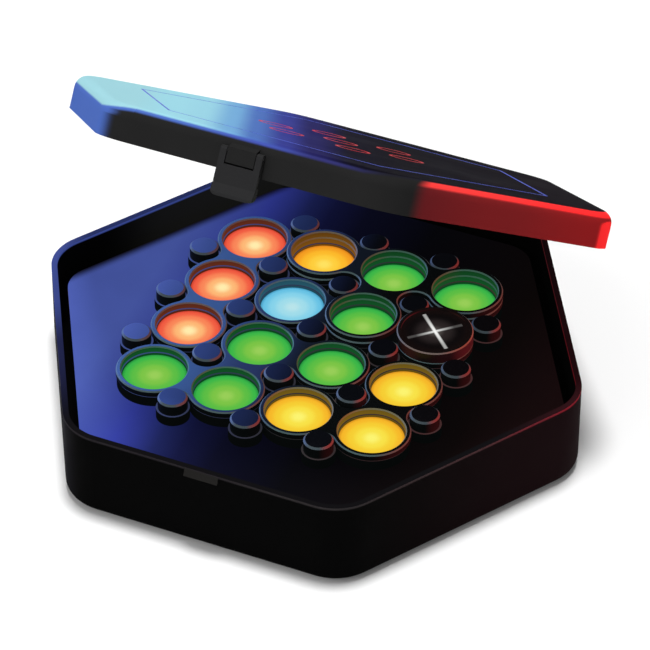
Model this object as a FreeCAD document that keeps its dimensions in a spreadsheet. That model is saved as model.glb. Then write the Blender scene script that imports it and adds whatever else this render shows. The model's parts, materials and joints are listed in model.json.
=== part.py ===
import FreeCAD, Part
import Sketcher
import math
import os
from FreeCAD import Placement, Rotation, Vector

doc = FreeCAD.newDocument("light_tile_case")

# Driving sizes in millimetres and degrees
SIZES = [
    # ring tiles and the grid they lie on
    ("pitch", 40.0, "distance between neighbouring windows"),
    ("tile_gap", 0.8, "gap between two tiles side by side"),
    ("ring_width", 2.7, "width of a tile's ring"),
    ("tile_thickness", 3.8, "thickness of a tile"),
    ("tile_chamfer", 0.6, "bevel on a tile's edges"),
    # guide posts
    ("post_clearance", 1.1, "gap between a post and a tile's notch"),
    ("post_rise", 6.5, "post above its collar"),
    ("post_chamfer", 0.9, "bevel on a post's top"),
    ("collar_overhang", 1.0, "collar beyond its post"),
    ("stem_radius", 4.0, "post's stem"),
    ("stem_length", 4.0, "stem inside its socket"),
    ("stem_play", 0.05, "gap round a stem"),
    # play deck
    ("deck_margin", 20.4, "free border of the deck beyond the tiles"),
    ("deck_corner", 18.0, "rounding of the deck's corners"),
    ("deck_thickness", 2.5, "deck panel"),
    ("deck_drop", 15.3, "rim of the tub to the deck"),
    ("seat_height", 5.7, "raised seat above the deck"),
    ("seat_inset", 0.3, "seat's edge inside the tile's edge"),
    # lit push keys
    ("key_bore_step", 0.2, "key bore inside the tile's bore"),
    ("key_gap", 0.3, "gap round a key"),
    ("key_recess", 1.1, "key's face below its seat"),
    ("key_lip", 3.3, "lip that stops the key's flange"),
    ("key_stop_gap", 0.1, "flange to lip at rest"),
    ("flange_width", 1.4, "flange beyond the key's face"),
    ("flange_height", 2.0, "thickness of the flange"),
    ("plunger_outer", 11.0, "outside of the key's foot"),
    ("plunger_inner", 9.0, "inside of the key's foot"),
    ("plunger_length", 2.3, "length of the key's foot"),
    # tub
    ("wall_channel", 5.0, "open channel between deck and wall"),
    ("tub_wall", 3.0, "wall of the tub"),
    ("tub_floor", 3.0, "floor of the tub"),
    ("corner_radius", 26.0, "rounding of the case's corners"),
    ("bottom_round", 6.0, "rounding under the tub"),
    # lid
    ("rim_gap", 0.3, "lid above the rim when shut"),
    ("lid_height", 18.0, "height of the lid"),
    ("lid_wall", 3.0, "wall and top of the lid"),
    ("lid_round", 6.6, "rounding of the lid's top edge"),
    ("lid_open", 34.0, "angle that the lid stands open"),
    # hinge at the back
    ("hinge_gap", 1.0, "barrel behind the wall"),
    ("hinge_drop", 3.0, "axis below the rim"),
    ("hinge_spread", 40.0, "each hinge from the middle"),
    ("knuckle_radius", 4.5, "barrel of the hinge"),
    ("tub_knuckle", 16.0, "width of the tub's knuckle"),
    ("lid_knuckle", 10.0, "width of a lid knuckle"),
    ("knuckle_gap", 0.4, "gap round the knuckles"),
    ("foot_drop", 1.5, "tub knuckle's foot below the rim"),
    ("tub_foot", 11.0, "tub knuckle's foot below the axis"),
    ("lid_foot", 11.0, "lid knuckle's foot above the lid's edge"),
    ("pin_radius", 1.5, "hinge pin"),
    ("pin_play", 0.05, "gap round a pin"),
    # clasp at the front
    ("clasp_width", 22.0, "width of the clasp"),
    ("clasp_thickness", 3.6, "thickness of the clasp"),
    ("clasp_drop", 12.0, "clasp below the rim"),
    ("clasp_gap", 0.4, "clasp in front of the wall"),
    ("clasp_round", 3.0, "lower corners of the clasp"),
    ("arm_flat", 0.2, "flat between the roundings of an arm's end"),
    ("lip_reach", 1.4, "finger lip in front of the clasp"),
    ("lip_height", 6.0, "slope of the finger lip"),
    ("lip_edge", 1.5, "edge of the finger lip"),
    ("clasp_pin_radius", 0.9, "clasp pin"),
    ("clasp_pin_rise", 10.0, "clasp pin above the rim"),
    ("lug_width", 14.6, "lid's lug between the clasp's arms"),
    ("lug_inset", 0.2, "lug behind the clasp's face"),
    ("lug_height", 5.8, "lug below the pin"),
    ("keeper_width", 18.0, "keeper under the rim"),
    ("keeper_height", 4.2, "height of the keeper's ramp"),
    ("keeper_reach", 1.8, "keeper in front of the wall"),
    ("keeper_room", 0.5, "gap round the keeper inside the clasp"),
    # cross cap
    ("cap_height", 6.1, "height of the cap"),
    ("cap_rim", 2.2, "width of the cap's rim"),
    ("cap_recess", 0.9, "cap's face below its rim"),
    ("cap_plate", 2.0, "thickness of the cap's face"),
    ("cross_margin", 2.4, "cross to the cap's rim"),
    ("cross_stroke", 2.2, "width of the cross"),
    ("lens_thickness", 1.5, "lens plate under the cross"),
    ("lens_play", 0.05, "gap round the lens's cross"),
    # lamp board and key mat
    ("board_drop", 6.5, "deck's underside to the board"),
    ("board_room", 2.2, "battery bay to the board"),
    ("board_thickness", 1.6, "lamp board"),
    ("board_margin", 24.0, "board beyond the outer lamps"),
    ("lamp_width", 5.0, "lamp"),
    ("lamp_height", 1.6, "lamp"),
    ("mat_margin", 13.5, "key mat beyond the outer lamps"),
    ("mat_thickness", 1.0, "key mat"),
    ("mat_hole", 8.0, "light hole in the mat"),
    ("mat_gap", 0.1, "mat's ring to the key's foot"),
    ("chip_width", 10.0, "control chip"),
    ("chip_height", 1.5, "control chip"),
    ("driver_width", 6.0, "lamp driver"),
    ("chip_offset", 50.0, "chips from the middle"),
    # screws
    ("boss_radius", 5.0, "screw boss"),
    ("boss_inset", 24.0, "deck screw from the deck's corner"),
    ("deck_boss_length", 10.5, "deck's boss under the panel"),
    ("screw_radius", 1.5, "shank of a screw"),
    ("screw_play", 0.05, "shank to its pilot hole"),
    ("screw_room", 0.25, "shank to its passing hole"),
    ("head_radius", 2.9, "head of a screw"),
    ("head_height", 2.0, "head of a screw"),
    ("head_room", 0.5, "gap round a head"),
    ("screw_seat", 3.5, "plastic under a deck screw's head"),
    ("screw_bite", 8.5, "deck screw inside its pilot hole"),
    ("board_bite", 5.0, "board screw inside its pilot hole"),
    ("board_screw_inset", 6.0, "board screw from the board's edge"),
    ("board_boss_radius", 4.0, "boss that carries the board"),
    ("hole_end", 0.5, "hole beyond the screw's tip"),
    # batteries and their door
    ("cell_radius", 7.25, "battery cell"),
    ("cell_length", 49.0, "battery cell without its nub"),
    ("nub_radius", 2.7, "nub of a cell"),
    ("nub_length", 1.5, "nub of a cell"),
    ("cell_gap", 0.7, "gap between cells"),
    ("spring_room", 5.0, "room for a contact spring"),
    ("contact_thickness", 0.6, "contact metal"),
    ("contact_width", 9.0, "contact plate"),
    ("contact_gap", 0.1, "contact to cell"),
    ("bay_offset", 58.0, "battery bay from the middle"),
    ("bay_wall", 2.0, "wall of the battery bay"),
    ("bay_headroom", 0.8, "room above the cells"),
    ("door_thickness", 2.4, "battery door"),
    ("door_sunk", 0.2, "door above the tub's underside"),
    ("door_ledge", 3.0, "ledge round the battery bay"),
    ("door_ear", 12.0, "door beyond the bay at each end"),
    ("door_gap", 0.3, "gap round the door"),
    ("door_frame", 2.7, "thick frame round the door"),
    ("frame_rise", 3.0, "frame above the floor"),
    ("door_head_radius", 2.4, "head of a door screw"),
    ("door_head_height", 1.2, "head of a door screw"),
    ("door_screw_radius", 1.25, "shank of a door screw"),
    ("door_screw_bite", 6.0, "door screw inside its boss"),
    ("door_boss_radius", 3.6, "boss for a door screw"),
    # power switch and leads
    ("switch_room", 12.0, "battery door's frame to the switch"),
    ("switch_length", 22.0, "switch body"),
    ("switch_width", 10.0, "switch body"),
    ("switch_height", 7.0, "switch body"),
    ("switch_travel", 4.0, "travel of the knob"),
    ("knob_length", 6.0, "switch knob"),
    ("knob_width", 5.4, "switch knob"),
    ("knob_sunk", 0.8, "knob above the tub's underside"),
    ("knob_gap", 0.3, "gap round the knob"),
    ("knob_stem", 3.0, "stem of the knob"),
    ("stem_reach", 2.4, "stem inside the switch"),
    ("lead_radius", 0.7, "lead wire"),
    ("lead_spread", 4.0, "switch lead from the switch's middle"),
]

# Sizes that follow from the driving ones
LAYOUT = [
    # tiles and posts
    ("ring_radius", "sizes.pitch / 2 - sizes.tile_gap / 2"),
    ("well_radius", "ring_radius - sizes.ring_width"),
    ("notch_radius", "sizes.pitch / sqrt(2) - ring_radius"),
    ("post_radius", "notch_radius - sizes.post_clearance"),
    ("collar_radius", "post_radius + sizes.collar_overhang"),
    ("stem_socket", "sizes.stem_radius + sizes.stem_play"),
    ("seat_radius", "ring_radius - sizes.seat_inset"),
    # outlines seen from above
    ("grid_edge", "1.5 * sizes.pitch"),
    ("deck_apothem", "grid_edge * (cos(30 deg) + sin(30 deg)) + ring_radius + sizes.deck_margin"),
    ("inner_apothem", "deck_apothem + sizes.wall_channel"),
    ("case_apothem", "inner_apothem + sizes.tub_wall"),
    ("inner_corner", "sizes.corner_radius - sizes.tub_wall"),
    ("lid_inner_apothem", "case_apothem - sizes.lid_wall"),
    ("lid_inner_corner", "sizes.corner_radius - sizes.lid_wall"),
    ("board_width", "2 * (grid_edge + sizes.board_margin)"),
    ("mat_width", "2 * (grid_edge + sizes.mat_margin)"),
    # battery bay and its door
    ("cell_pitch", "2 * sizes.cell_radius + sizes.cell_gap"),
    ("bay_width", "3 * cell_pitch + sizes.cell_gap"),
    ("bay_length", "sizes.cell_length + sizes.nub_length + sizes.spring_room + "
                   "2 * (sizes.contact_thickness + sizes.contact_gap)"),
    ("tower_width", "bay_width + 2 * sizes.bay_wall"),
    ("tower_length", "bay_length + 2 * sizes.bay_wall"),
    ("rebate_width", "bay_width + 2 * sizes.door_ledge"),
    ("rebate_length", "bay_length + 2 * sizes.door_ear"),
    ("frame_width", "rebate_width + 2 * sizes.door_frame"),
    ("frame_length", "rebate_length + 2 * sizes.door_frame"),
    ("door_width", "rebate_width - 2 * sizes.door_gap"),
    ("door_length", "rebate_length - 2 * sizes.door_gap"),
    ("cell_shoulder", "bay_length / 2 - sizes.contact_thickness - sizes.contact_gap - sizes.nub_length"),
    ("contact_place", "(bay_length - sizes.contact_thickness) / 2"),
    ("lead_bore", "sizes.lead_radius + sizes.screw_room"),
    ("door_screw_place", "bay_length / 2 + sizes.door_ear / 2"),
    ("door_pilot", "sizes.door_screw_radius + sizes.screw_play"),
    ("door_passing", "sizes.door_screw_radius + sizes.screw_room"),
    ("door_head_bore", "sizes.door_head_radius + sizes.door_gap"),
    # heights, stacked up from the table
    ("frame_top", "sizes.tub_floor + sizes.frame_rise"),
    ("switch_top", "sizes.tub_floor + sizes.switch_height"),
    ("door_top", "sizes.door_sunk + sizes.door_thickness"),
    ("door_head_seat", "sizes.door_sunk + sizes.door_gap + sizes.door_head_height"),
    ("door_screw_tip", "door_top + sizes.door_screw_bite"),
    ("cell_height", "door_top + sizes.door_gap + sizes.cell_radius"),
    ("contact_bottom", "cell_height - sizes.contact_width / 2"),
    ("contact_top", "cell_height + sizes.cell_radius"),
    ("bay_ceiling", "contact_top + sizes.bay_headroom"),
    ("bay_top", "bay_ceiling + sizes.bay_wall"),
    ("board_bottom", "bay_top + sizes.board_room"),
    ("board_top", "board_bottom + sizes.board_thickness"),
    ("mat_top", "board_top + sizes.mat_thickness"),
    ("deck_bottom", "board_top + sizes.board_drop"),
    ("deck_top", "deck_bottom + sizes.deck_thickness"),
    ("seat_top", "deck_top + sizes.seat_height"),
    ("second_layer", "seat_top + sizes.tile_thickness"),
    ("rim_height", "deck_top + sizes.deck_drop"),
    ("lid_bottom", "rim_height + sizes.rim_gap"),
    # keys
    ("key_bore", "well_radius - sizes.key_bore_step"),
    ("key_radius", "key_bore - sizes.key_gap"),
    ("flange_radius", "key_radius + sizes.flange_width"),
    ("flange_bore", "flange_radius + sizes.key_gap"),
    ("key_top", "seat_top - sizes.key_recess"),
    ("lip_bottom", "seat_top - sizes.key_lip"),
    ("flange_top", "lip_bottom - sizes.key_stop_gap"),
    ("flange_bottom", "flange_top - sizes.flange_height"),
    ("plunger_bottom", "flange_bottom - sizes.plunger_length"),
    # screws
    ("board_screw_place", "board_width / 2 - sizes.board_screw_inset"),
    ("boss_circle", "deck_apothem / cos(30 deg) - sizes.boss_inset"),
    ("boss_split", "deck_bottom - sizes.deck_boss_length"),
    ("head_seat", "boss_split - sizes.screw_seat"),
    ("pilot_radius", "sizes.screw_radius + sizes.screw_play"),
    ("passing_radius", "sizes.screw_radius + sizes.screw_room"),
    ("head_bore", "sizes.head_radius + sizes.head_room"),
    # hinge and clasp
    ("hinge_y", "case_apothem + sizes.hinge_gap + sizes.knuckle_radius"),
    ("hinge_z", "rim_height - sizes.hinge_drop"),
    ("pin_bore", "sizes.pin_radius + sizes.pin_play"),
    ("hinge_width", "sizes.tub_knuckle + 2 * (sizes.lid_knuckle + sizes.knuckle_gap)"),
    ("knuckle_step", "(sizes.tub_knuckle + sizes.lid_knuckle) / 2 + sizes.knuckle_gap"),
    ("clasp_back", "case_apothem + sizes.clasp_gap"),
    ("clasp_face", "clasp_back + sizes.clasp_thickness"),
    ("lip_face", "clasp_face + sizes.lip_reach"),
    ("clasp_pin_y", "clasp_back + sizes.clasp_thickness / 2"),
    ("clasp_pin_z", "rim_height + sizes.clasp_pin_rise"),
    ("clasp_pin_bore", "sizes.clasp_pin_radius + sizes.pin_play"),
    ("clasp_top", "clasp_pin_z + sizes.clasp_thickness / 2"),
    ("clasp_bottom", "rim_height - sizes.clasp_drop"),
    ("notch_width", "sizes.lug_width + 2 * sizes.clasp_gap"),
    ("lug_bottom", "clasp_pin_z - sizes.lug_height"),
    ("lug_top", "clasp_pin_z + sizes.clasp_thickness"),
    ("lug_face", "clasp_face - sizes.lug_inset"),
    ("notch_bottom", "lug_bottom - 2 * sizes.clasp_gap"),
    ("keeper_bottom", "rim_height - sizes.keeper_height"),
    ("keeper_face", "case_apothem + sizes.keeper_reach"),
    ("hollow_width", "sizes.clasp_width + 2 * sizes.keeper_room"),
    ("hollow_height", "sizes.keeper_height + 2 * sizes.keeper_room"),
    # cross cap
    ("cap_top", "second_layer + sizes.cap_height"),
    ("cap_face", "cap_top - sizes.cap_recess"),
    ("cap_ceiling", "cap_face - sizes.cap_plate"),
    ("cap_face_radius", "ring_radius - sizes.cap_rim"),
    ("cross_arm", "cap_face_radius - sizes.cross_margin"),
    ("lens_radius", "well_radius - sizes.key_gap"),
    # power switch
    ("switch_place", "frame_width / 2 + sizes.switch_room + sizes.switch_length / 2"),
    ("slot_length", "sizes.knob_length + sizes.switch_travel + 2 * sizes.knob_gap"),
    ("slot_width", "sizes.knob_width + 2 * sizes.knob_gap"),
    ("stem_slot_length", "sizes.knob_stem + sizes.switch_travel + 2 * sizes.knob_gap"),
    ("stem_slot_width", "sizes.knob_stem + 2 * sizes.knob_gap"),
]


def make_sheets():
    """Writes the driving sizes as plain numbers and the sizes that follow as formulas."""
    sizes = doc.addObject("Spreadsheet::Sheet", "sizes")
    for row, (alias, number, note) in enumerate(SIZES, start=1):
        sizes.set("A%d" % row, note)
        sizes.set("B%d" % row, str(number))
        sizes.setAlias("B%d" % row, alias)
    layout = doc.addObject("Spreadsheet::Sheet", "layout")
    for row, (alias, formula) in enumerate(LAYOUT, start=1):
        layout.set("A%d" % row, alias)
        layout.set("B%d" % row, "=" + formula)
        layout.setAlias("B%d" % row, alias)
    doc.recompute()
    return sizes, layout


sizes, layout = make_sheets()
DRIVING = {alias for alias, _, _ in SIZES}


def size(alias):
    """The number that a sheet holds under an alias."""
    sheet = sizes if alias in DRIVING else layout
    return float(sheet.get(alias))


def bound(alias):
    """An alias as it is written in an expression."""
    return ("sizes." if alias in DRIVING else "layout.") + alias


# Helpers for bodies, sketches and features
def new_body(label):
    body = doc.addObject("PartDesign::Body", label)
    body.Label = label
    return body


def new_sketch(body, plane, offset):
    """A sketch on one of the body's origin planes, moved along its normal by an expression."""
    sketch = body.newObject("Sketcher::SketchObject", body.Name + "_sketch")
    support = [f for f in body.Origin.OriginFeatures if f.Role == plane + "_Plane"][0]
    sketch.AttachmentSupport = [(support, "")]
    sketch.MapMode = "FlatFace"
    sketch.setExpression(".AttachmentOffset.Base.z", offset)
    return sketch


def constrain(sketch, expression, *args):
    """Adds a measured constraint and binds it to an expression."""
    index = sketch.addConstraint(Sketcher.Constraint(*args))
    sketch.setExpression("Constraints[%d]" % index, expression)


def add_circles(sketch, centres, alias):
    """Circles of one bound radius round the given centres."""
    first = None
    for x, y in centres:
        circle = Part.Circle(Vector(x, y, 0), Vector(0, 0, 1), size(alias))
        index = sketch.addGeometry(circle, False)
        if first is None:
            first = index
            constrain(sketch, bound(alias), "Radius", index, size(alias))
        else:
            sketch.addConstraint(Sketcher.Constraint("Equal", first, index))


def add_polygon(sketch, points):
    """A closed outline of straight lines."""
    ends = points[1:] + points[:1]
    lines = [Part.LineSegment(Vector(*a, 0), Vector(*b, 0)) for a, b in zip(points, ends)]
    indices = [sketch.addGeometry(line, False) for line in lines]
    for index, following in zip(indices, indices[1:] + indices[:1]):
        sketch.addConstraint(Sketcher.Constraint("Coincident", index, 2, following, 1))
    return indices


def add_arc(sketch, centre, radius, start, end):
    """An arc of a named radius round a centre, from the direction of one point to that of another."""
    circle = Part.Circle(centre, Vector(0, 0, 1), size(radius))
    angles = [math.atan2(point.y - centre.y, point.x - centre.x) for point in (start, end)]
    sketch.addGeometry(Part.ArcOfCircle(circle, *angles), False)


def add_rectangle(sketch, centre, width, height):
    """A rectangle of two bound sides round a centre; width and height are aliases."""
    x, y = centre
    half_w = size(width) / 2
    half_h = size(height) / 2
    corners = [(x - half_w, y - half_h), (x + half_w, y - half_h),
               (x + half_w, y + half_h), (x - half_w, y + half_h)]
    low, right, high, left = add_polygon(sketch, corners)
    for line in (low, high):
        sketch.addConstraint(Sketcher.Constraint("Horizontal", line))
    for line in (right, left):
        sketch.addConstraint(Sketcher.Constraint("Vertical", line))
    constrain(sketch, bound(width), "DistanceX", low, 1, low, 2, size(width))
    constrain(sketch, bound(height), "DistanceY", right, 1, right, 2, size(height))


def add_hexagon(sketch, alias, corner):
    """A regular hexagon with flat sides front and back and rounded corners, both named by aliases."""
    apothem, radius = size(alias), size(corner)
    reach = (apothem - radius) / math.cos(math.radians(30))
    up = Vector(0, 0, 1)
    arcs, lines = [], []
    for k in range(6):
        middle = math.radians(60 * k)
        centre = Vector(reach * math.cos(middle), reach * math.sin(middle), 0)
        ends = (middle - math.radians(30), middle + math.radians(30))
        arcs.append(Part.ArcOfCircle(Part.Circle(centre, up, radius), *ends))
    for arc, following in zip(arcs, arcs[1:] + arcs[:1]):
        lines.append(Part.LineSegment(arc.EndPoint, following.StartPoint))
    arcs = [sketch.addGeometry(arc, False) for arc in arcs]
    lines = [sketch.addGeometry(line, False) for line in lines]
    guide = sketch.addGeometry(Part.Circle(Vector(0, 0, 0), up, apothem), True)
    for arc, line, following in zip(arcs, lines, arcs[1:] + arcs[:1]):
        sketch.addConstraint(Sketcher.Constraint("Tangent", arc, 2, line, 1))
        sketch.addConstraint(Sketcher.Constraint("Tangent", line, 2, following, 1))
        sketch.addConstraint(Sketcher.Constraint("Tangent", line, guide))
    for arc in arcs[1:]:
        sketch.addConstraint(Sketcher.Constraint("Equal", arcs[0], arc))
    for line in lines[1:5]:
        sketch.addConstraint(Sketcher.Constraint("Equal", lines[0], line))
    sketch.addConstraint(Sketcher.Constraint("Coincident", guide, 3, -1, 1))
    sketch.addConstraint(Sketcher.Constraint("Horizontal", lines[1]))
    sketch.addConstraint(Sketcher.Constraint("Angle", lines[0], math.radians(120)))
    constrain(sketch, bound(alias), "Radius", guide, apothem)
    constrain(sketch, bound(corner), "Radius", arcs[0], radius)


def pad(body, sketch, length, reverse=False):
    """Adds the sketch's outline, drawn out by an expression, to the body."""
    feature = body.newObject("PartDesign::Pad", body.Name + "_pad")
    feature.Profile = sketch
    feature.setExpression("Length", length)
    feature.Reversed = reverse
    doc.recompute()
    return feature


def pocket(body, sketch, length, reverse=False):
    """Cuts the sketch's outline out of the body, and checks that it removed something."""
    before = body.Shape.Volume
    feature = body.newObject("PartDesign::Pocket", body.Name + "_pocket")
    feature.Profile = sketch
    feature.setExpression("Length", length)
    feature.Reversed = reverse
    doc.recompute()
    if not body.Shape.Volume < before - 1e-6:
        raise RuntimeError("a pocket in %s cuts nothing" % body.Label)
    return feature


def dress(body, kind, prop, expression, wanted):
    """Rounds or bevels the edges of the body's tip that pass the test."""
    base = body.Tip
    names = ["Edge%d" % k for k, edge in enumerate(base.Shape.Edges, start=1) if wanted(edge)]
    feature = body.newObject("PartDesign::" + kind, body.Name + "_" + kind.lower())
    feature.Base = (base, names)
    feature.setExpression(prop, expression)
    doc.recompute()
    return feature


def at_height(edge, height):
    return abs(edge.BoundBox.ZMin - height) < 1e-6 and abs(edge.BoundBox.ZMax - height) < 1e-6


# Grid places
def cell_centre(row, column):
    """Centre of a window: rows run from the hinge to the clasp, columns from left to right."""
    return ((column - 2.5) * size("pitch"), (2.5 - row) * size("pitch"))


CELLS = [(row, column) for row in range(1, 5) for column in range(1, 5)]
CELL_CENTRES = [cell_centre(row, column) for row, column in CELLS]
POST_CENTRES = [(i * size("pitch"), j * size("pitch")) for i in range(-2, 3) for j in range(-2, 3)
                if abs(i) + abs(j) < 4]
CORNER_ANGLES = [math.radians(60 * k) for k in range(6)]
DECK_SCREWS = [(size("boss_circle") * math.cos(a), size("boss_circle") * math.sin(a))
               for a in CORNER_ANGLES]
BOARD_SCREWS = [(i * size("board_screw_place"), j * size("board_screw_place"))
                for i in (-1, 1) for j in (-1, 1)] + [(0, 0)]
BAY = (0, -size("bay_offset"))
DOOR_SCREWS = [(0, BAY[1] - size("door_screw_place")), (0, BAY[1] + size("door_screw_place"))]
SWITCH = (size("switch_place"), BAY[1])
CELL_PLACES = [(k * size("cell_pitch"), facing) for k, facing in ((-1, 1), (0, -1), (1, 1))]
BATTERY_LEADS = [(x, BAY[1] + size("contact_place")) for x, facing in CELL_PLACES if facing > 0]
SWITCH_LEADS = [(SWITCH[0] + side * size("lead_spread"), SWITCH[1]) for side in (-1, 1)]


# Hinge and clasp outlines, seen along X
def knuckle_outline(sketch, points):
    """A barrel round the hinge axis whose sides run straight to the first and the last point."""
    axis, radius = Vector(size("hinge_y"), size("hinge_z"), 0), size("knuckle_radius")
    points = [Vector(*point, 0) for point in points]
    angles = []
    for point, side in ((points[0], 1), (points[-1], -1)):
        away = point.sub(axis)
        angles.append(math.atan2(away.y, away.x) + side * math.acos(radius / away.Length))
    barrel = Part.ArcOfCircle(Part.Circle(axis, Vector(0, 0, 1), radius), *angles)
    corners = [barrel.StartPoint] + points + [barrel.EndPoint]
    chain = [sketch.addGeometry(Part.LineSegment(a, b), False) for a, b in zip(corners, corners[1:])]
    arc = sketch.addGeometry(barrel, False)
    for line, following in zip(chain, chain[1:]):
        sketch.addConstraint(Sketcher.Constraint("Coincident", line, 2, following, 1))
    sketch.addConstraint(Sketcher.Constraint("Coincident", chain[-1], 2, arc, 2))
    sketch.addConstraint(Sketcher.Constraint("Coincident", arc, 1, chain[0], 1))


def add_knuckles(body, middles, width, points):
    """Knuckles of one width; middles are expressions along the hinge axis."""
    for middle in middles:
        sketch = new_sketch(body, "YZ", "%s - %s / 2" % (middle, bound(width)))
        knuckle_outline(sketch, points)
        pad(body, sketch, bound(width))


def bore_along_x(body, place, radius, reach):
    """A round hole along X through everything within reach of the middle."""
    sketch = new_sketch(body, "YZ", reach)
    add_circles(sketch, [place], radius)
    pocket(body, sketch, "2 * " + reach)


HINGE_AXIS = (size("hinge_y"), size("hinge_z"))
HINGE_REACH = "(sizes.hinge_spread + layout.hinge_width)"
CLASP_AXIS = (-size("clasp_pin_y"), size("clasp_pin_z"))


def make_base_tub():
    """Hexagonal tub with screw bosses, battery bay, switch slot, keeper and hinge knuckles."""
    body = new_body("base_tub")
    sketch = new_sketch(body, "XY", "0")
    add_hexagon(sketch, "case_apothem", "corner_radius")
    pad(body, sketch, "layout.rim_height")
    dress(body, "Fillet", "Radius", "sizes.bottom_round", lambda e: at_height(e, 0))
    sketch = new_sketch(body, "XY", "layout.rim_height")
    add_hexagon(sketch, "inner_apothem", "inner_corner")
    pocket(body, sketch, "layout.rim_height - sizes.tub_floor")

    # screw bosses, their passing holes and head bores
    sketch = new_sketch(body, "XY", "sizes.tub_floor")
    add_circles(sketch, DECK_SCREWS, "boss_radius")
    pad(body, sketch, "layout.boss_split - sizes.tub_floor")
    sketch = new_sketch(body, "XY", "0")
    add_circles(sketch, DECK_SCREWS, "head_bore")
    pocket(body, sketch, "layout.head_seat", True)
    sketch = new_sketch(body, "XY", "layout.boss_split")
    add_circles(sketch, DECK_SCREWS, "passing_radius")
    pocket(body, sketch, "sizes.screw_seat")

    # battery bay: thick frame, tower, screw bosses, rebate for the door, hollow and lead holes
    sketch = new_sketch(body, "XY", "sizes.tub_floor")
    add_rectangle(sketch, BAY, "frame_width", "frame_length")
    pad(body, sketch, "sizes.frame_rise")
    sketch = new_sketch(body, "XY", "sizes.tub_floor")
    add_rectangle(sketch, BAY, "tower_width", "tower_length")
    pad(body, sketch, "layout.bay_top - sizes.tub_floor")
    sketch = new_sketch(body, "XY", "layout.frame_top")
    add_circles(sketch, DOOR_SCREWS, "door_boss_radius")
    pad(body, sketch, "layout.door_screw_tip + 2 * sizes.hole_end - layout.frame_top")
    sketch = new_sketch(body, "XY", "0")
    add_rectangle(sketch, BAY, "rebate_width", "rebate_length")
    pocket(body, sketch, "layout.door_top", True)
    sketch = new_sketch(body, "XY", "0")
    add_rectangle(sketch, BAY, "bay_width", "bay_length")
    pocket(body, sketch, "layout.bay_ceiling", True)
    sketch = new_sketch(body, "XY", "0")
    add_circles(sketch, DOOR_SCREWS, "door_pilot")
    pocket(body, sketch, "layout.door_screw_tip + sizes.hole_end", True)
    sketch = new_sketch(body, "XY", "layout.bay_top")
    add_circles(sketch, BATTERY_LEADS, "lead_bore")
    pocket(body, sketch, "layout.bay_top - layout.contact_top")

    # slot for the switch knob
    sketch = new_sketch(body, "XY", "0")
    add_rectangle(sketch, SWITCH, "slot_length", "slot_width")
    pocket(body, sketch, "sizes.tub_floor", True)

    # ramped keeper under the rim at the front
    wall = -size("case_apothem")
    sketch = new_sketch(body, "YZ", "-sizes.keeper_width / 2")
    add_polygon(sketch, [(wall + size("tub_wall") / 2, size("rim_height")),
                         (wall, size("rim_height")),
                         (-size("keeper_face"), size("keeper_bottom")),
                         (wall + size("tub_wall") / 2, size("keeper_bottom"))])
    pad(body, sketch, "sizes.keeper_width")

    # hinge knuckles at the back
    root = size("case_apothem") - size("tub_wall") / 2
    feet = [(root, size("hinge_z") - size("tub_foot")), (root, size("rim_height") - size("foot_drop"))]
    add_knuckles(body, ("-sizes.hinge_spread", "sizes.hinge_spread"), "tub_knuckle", feet)
    bore_along_x(body, HINGE_AXIS, "pin_bore", HINGE_REACH)
    return body


def make_play_deck():
    """Hexagonal panel with sixteen seats, post collars, key bores and screw bosses."""
    body = new_body("play_deck")
    sketch = new_sketch(body, "XY", "layout.deck_bottom")
    add_hexagon(sketch, "deck_apothem", "deck_corner")
    pad(body, sketch, "sizes.deck_thickness")
    for centres, radius in ((CELL_CENTRES, "seat_radius"), (POST_CENTRES, "collar_radius")):
        sketch = new_sketch(body, "XY", "layout.deck_bottom")
        add_circles(sketch, centres, radius)
        pad(body, sketch, "layout.seat_top - layout.deck_bottom")
    for centres, radius, length in ((DECK_SCREWS, "boss_radius", "sizes.deck_boss_length"),
                                    (BOARD_SCREWS, "board_boss_radius", "sizes.board_drop")):
        sketch = new_sketch(body, "XY", "layout.deck_bottom")
        add_circles(sketch, centres, radius)
        pad(body, sketch, length, True)
    downwards = ((CELL_CENTRES, "key_bore", "sizes.key_lip"),
                 (POST_CENTRES, "stem_socket", "sizes.stem_length + sizes.hole_end"))
    for centres, radius, depth in downwards:
        sketch = new_sketch(body, "XY", "layout.seat_top")
        add_circles(sketch, centres, radius)
        pocket(body, sketch, depth)
    upwards = ((CELL_CENTRES, "flange_bore", "layout.deck_bottom", "layout.lip_bottom - layout.deck_bottom"),
               (DECK_SCREWS, "pilot_radius", "layout.boss_split", "sizes.screw_bite + sizes.hole_end"),
               (BOARD_SCREWS, "pilot_radius", "layout.board_top", "sizes.board_bite + sizes.hole_end"))
    for centres, radius, height, depth in upwards:
        sketch = new_sketch(body, "XY", height)
        add_circles(sketch, centres, radius)
        pocket(body, sketch, depth, True)
    return body


def make_guide_posts():
    """Stepped posts whose stems sit in the collars' sockets."""
    body = new_body("guide_posts")
    sketch = new_sketch(body, "XY", "layout.seat_top")
    add_circles(sketch, POST_CENTRES, "post_radius")
    pad(body, sketch, "sizes.post_rise")
    top = size("seat_top") + size("post_rise")
    dress(body, "Chamfer", "Size", "sizes.post_chamfer", lambda e: at_height(e, top))
    sketch = new_sketch(body, "XY", "layout.seat_top")
    add_circles(sketch, POST_CENTRES, "stem_radius")
    pad(body, sketch, "sizes.stem_length", True)
    return body


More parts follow.
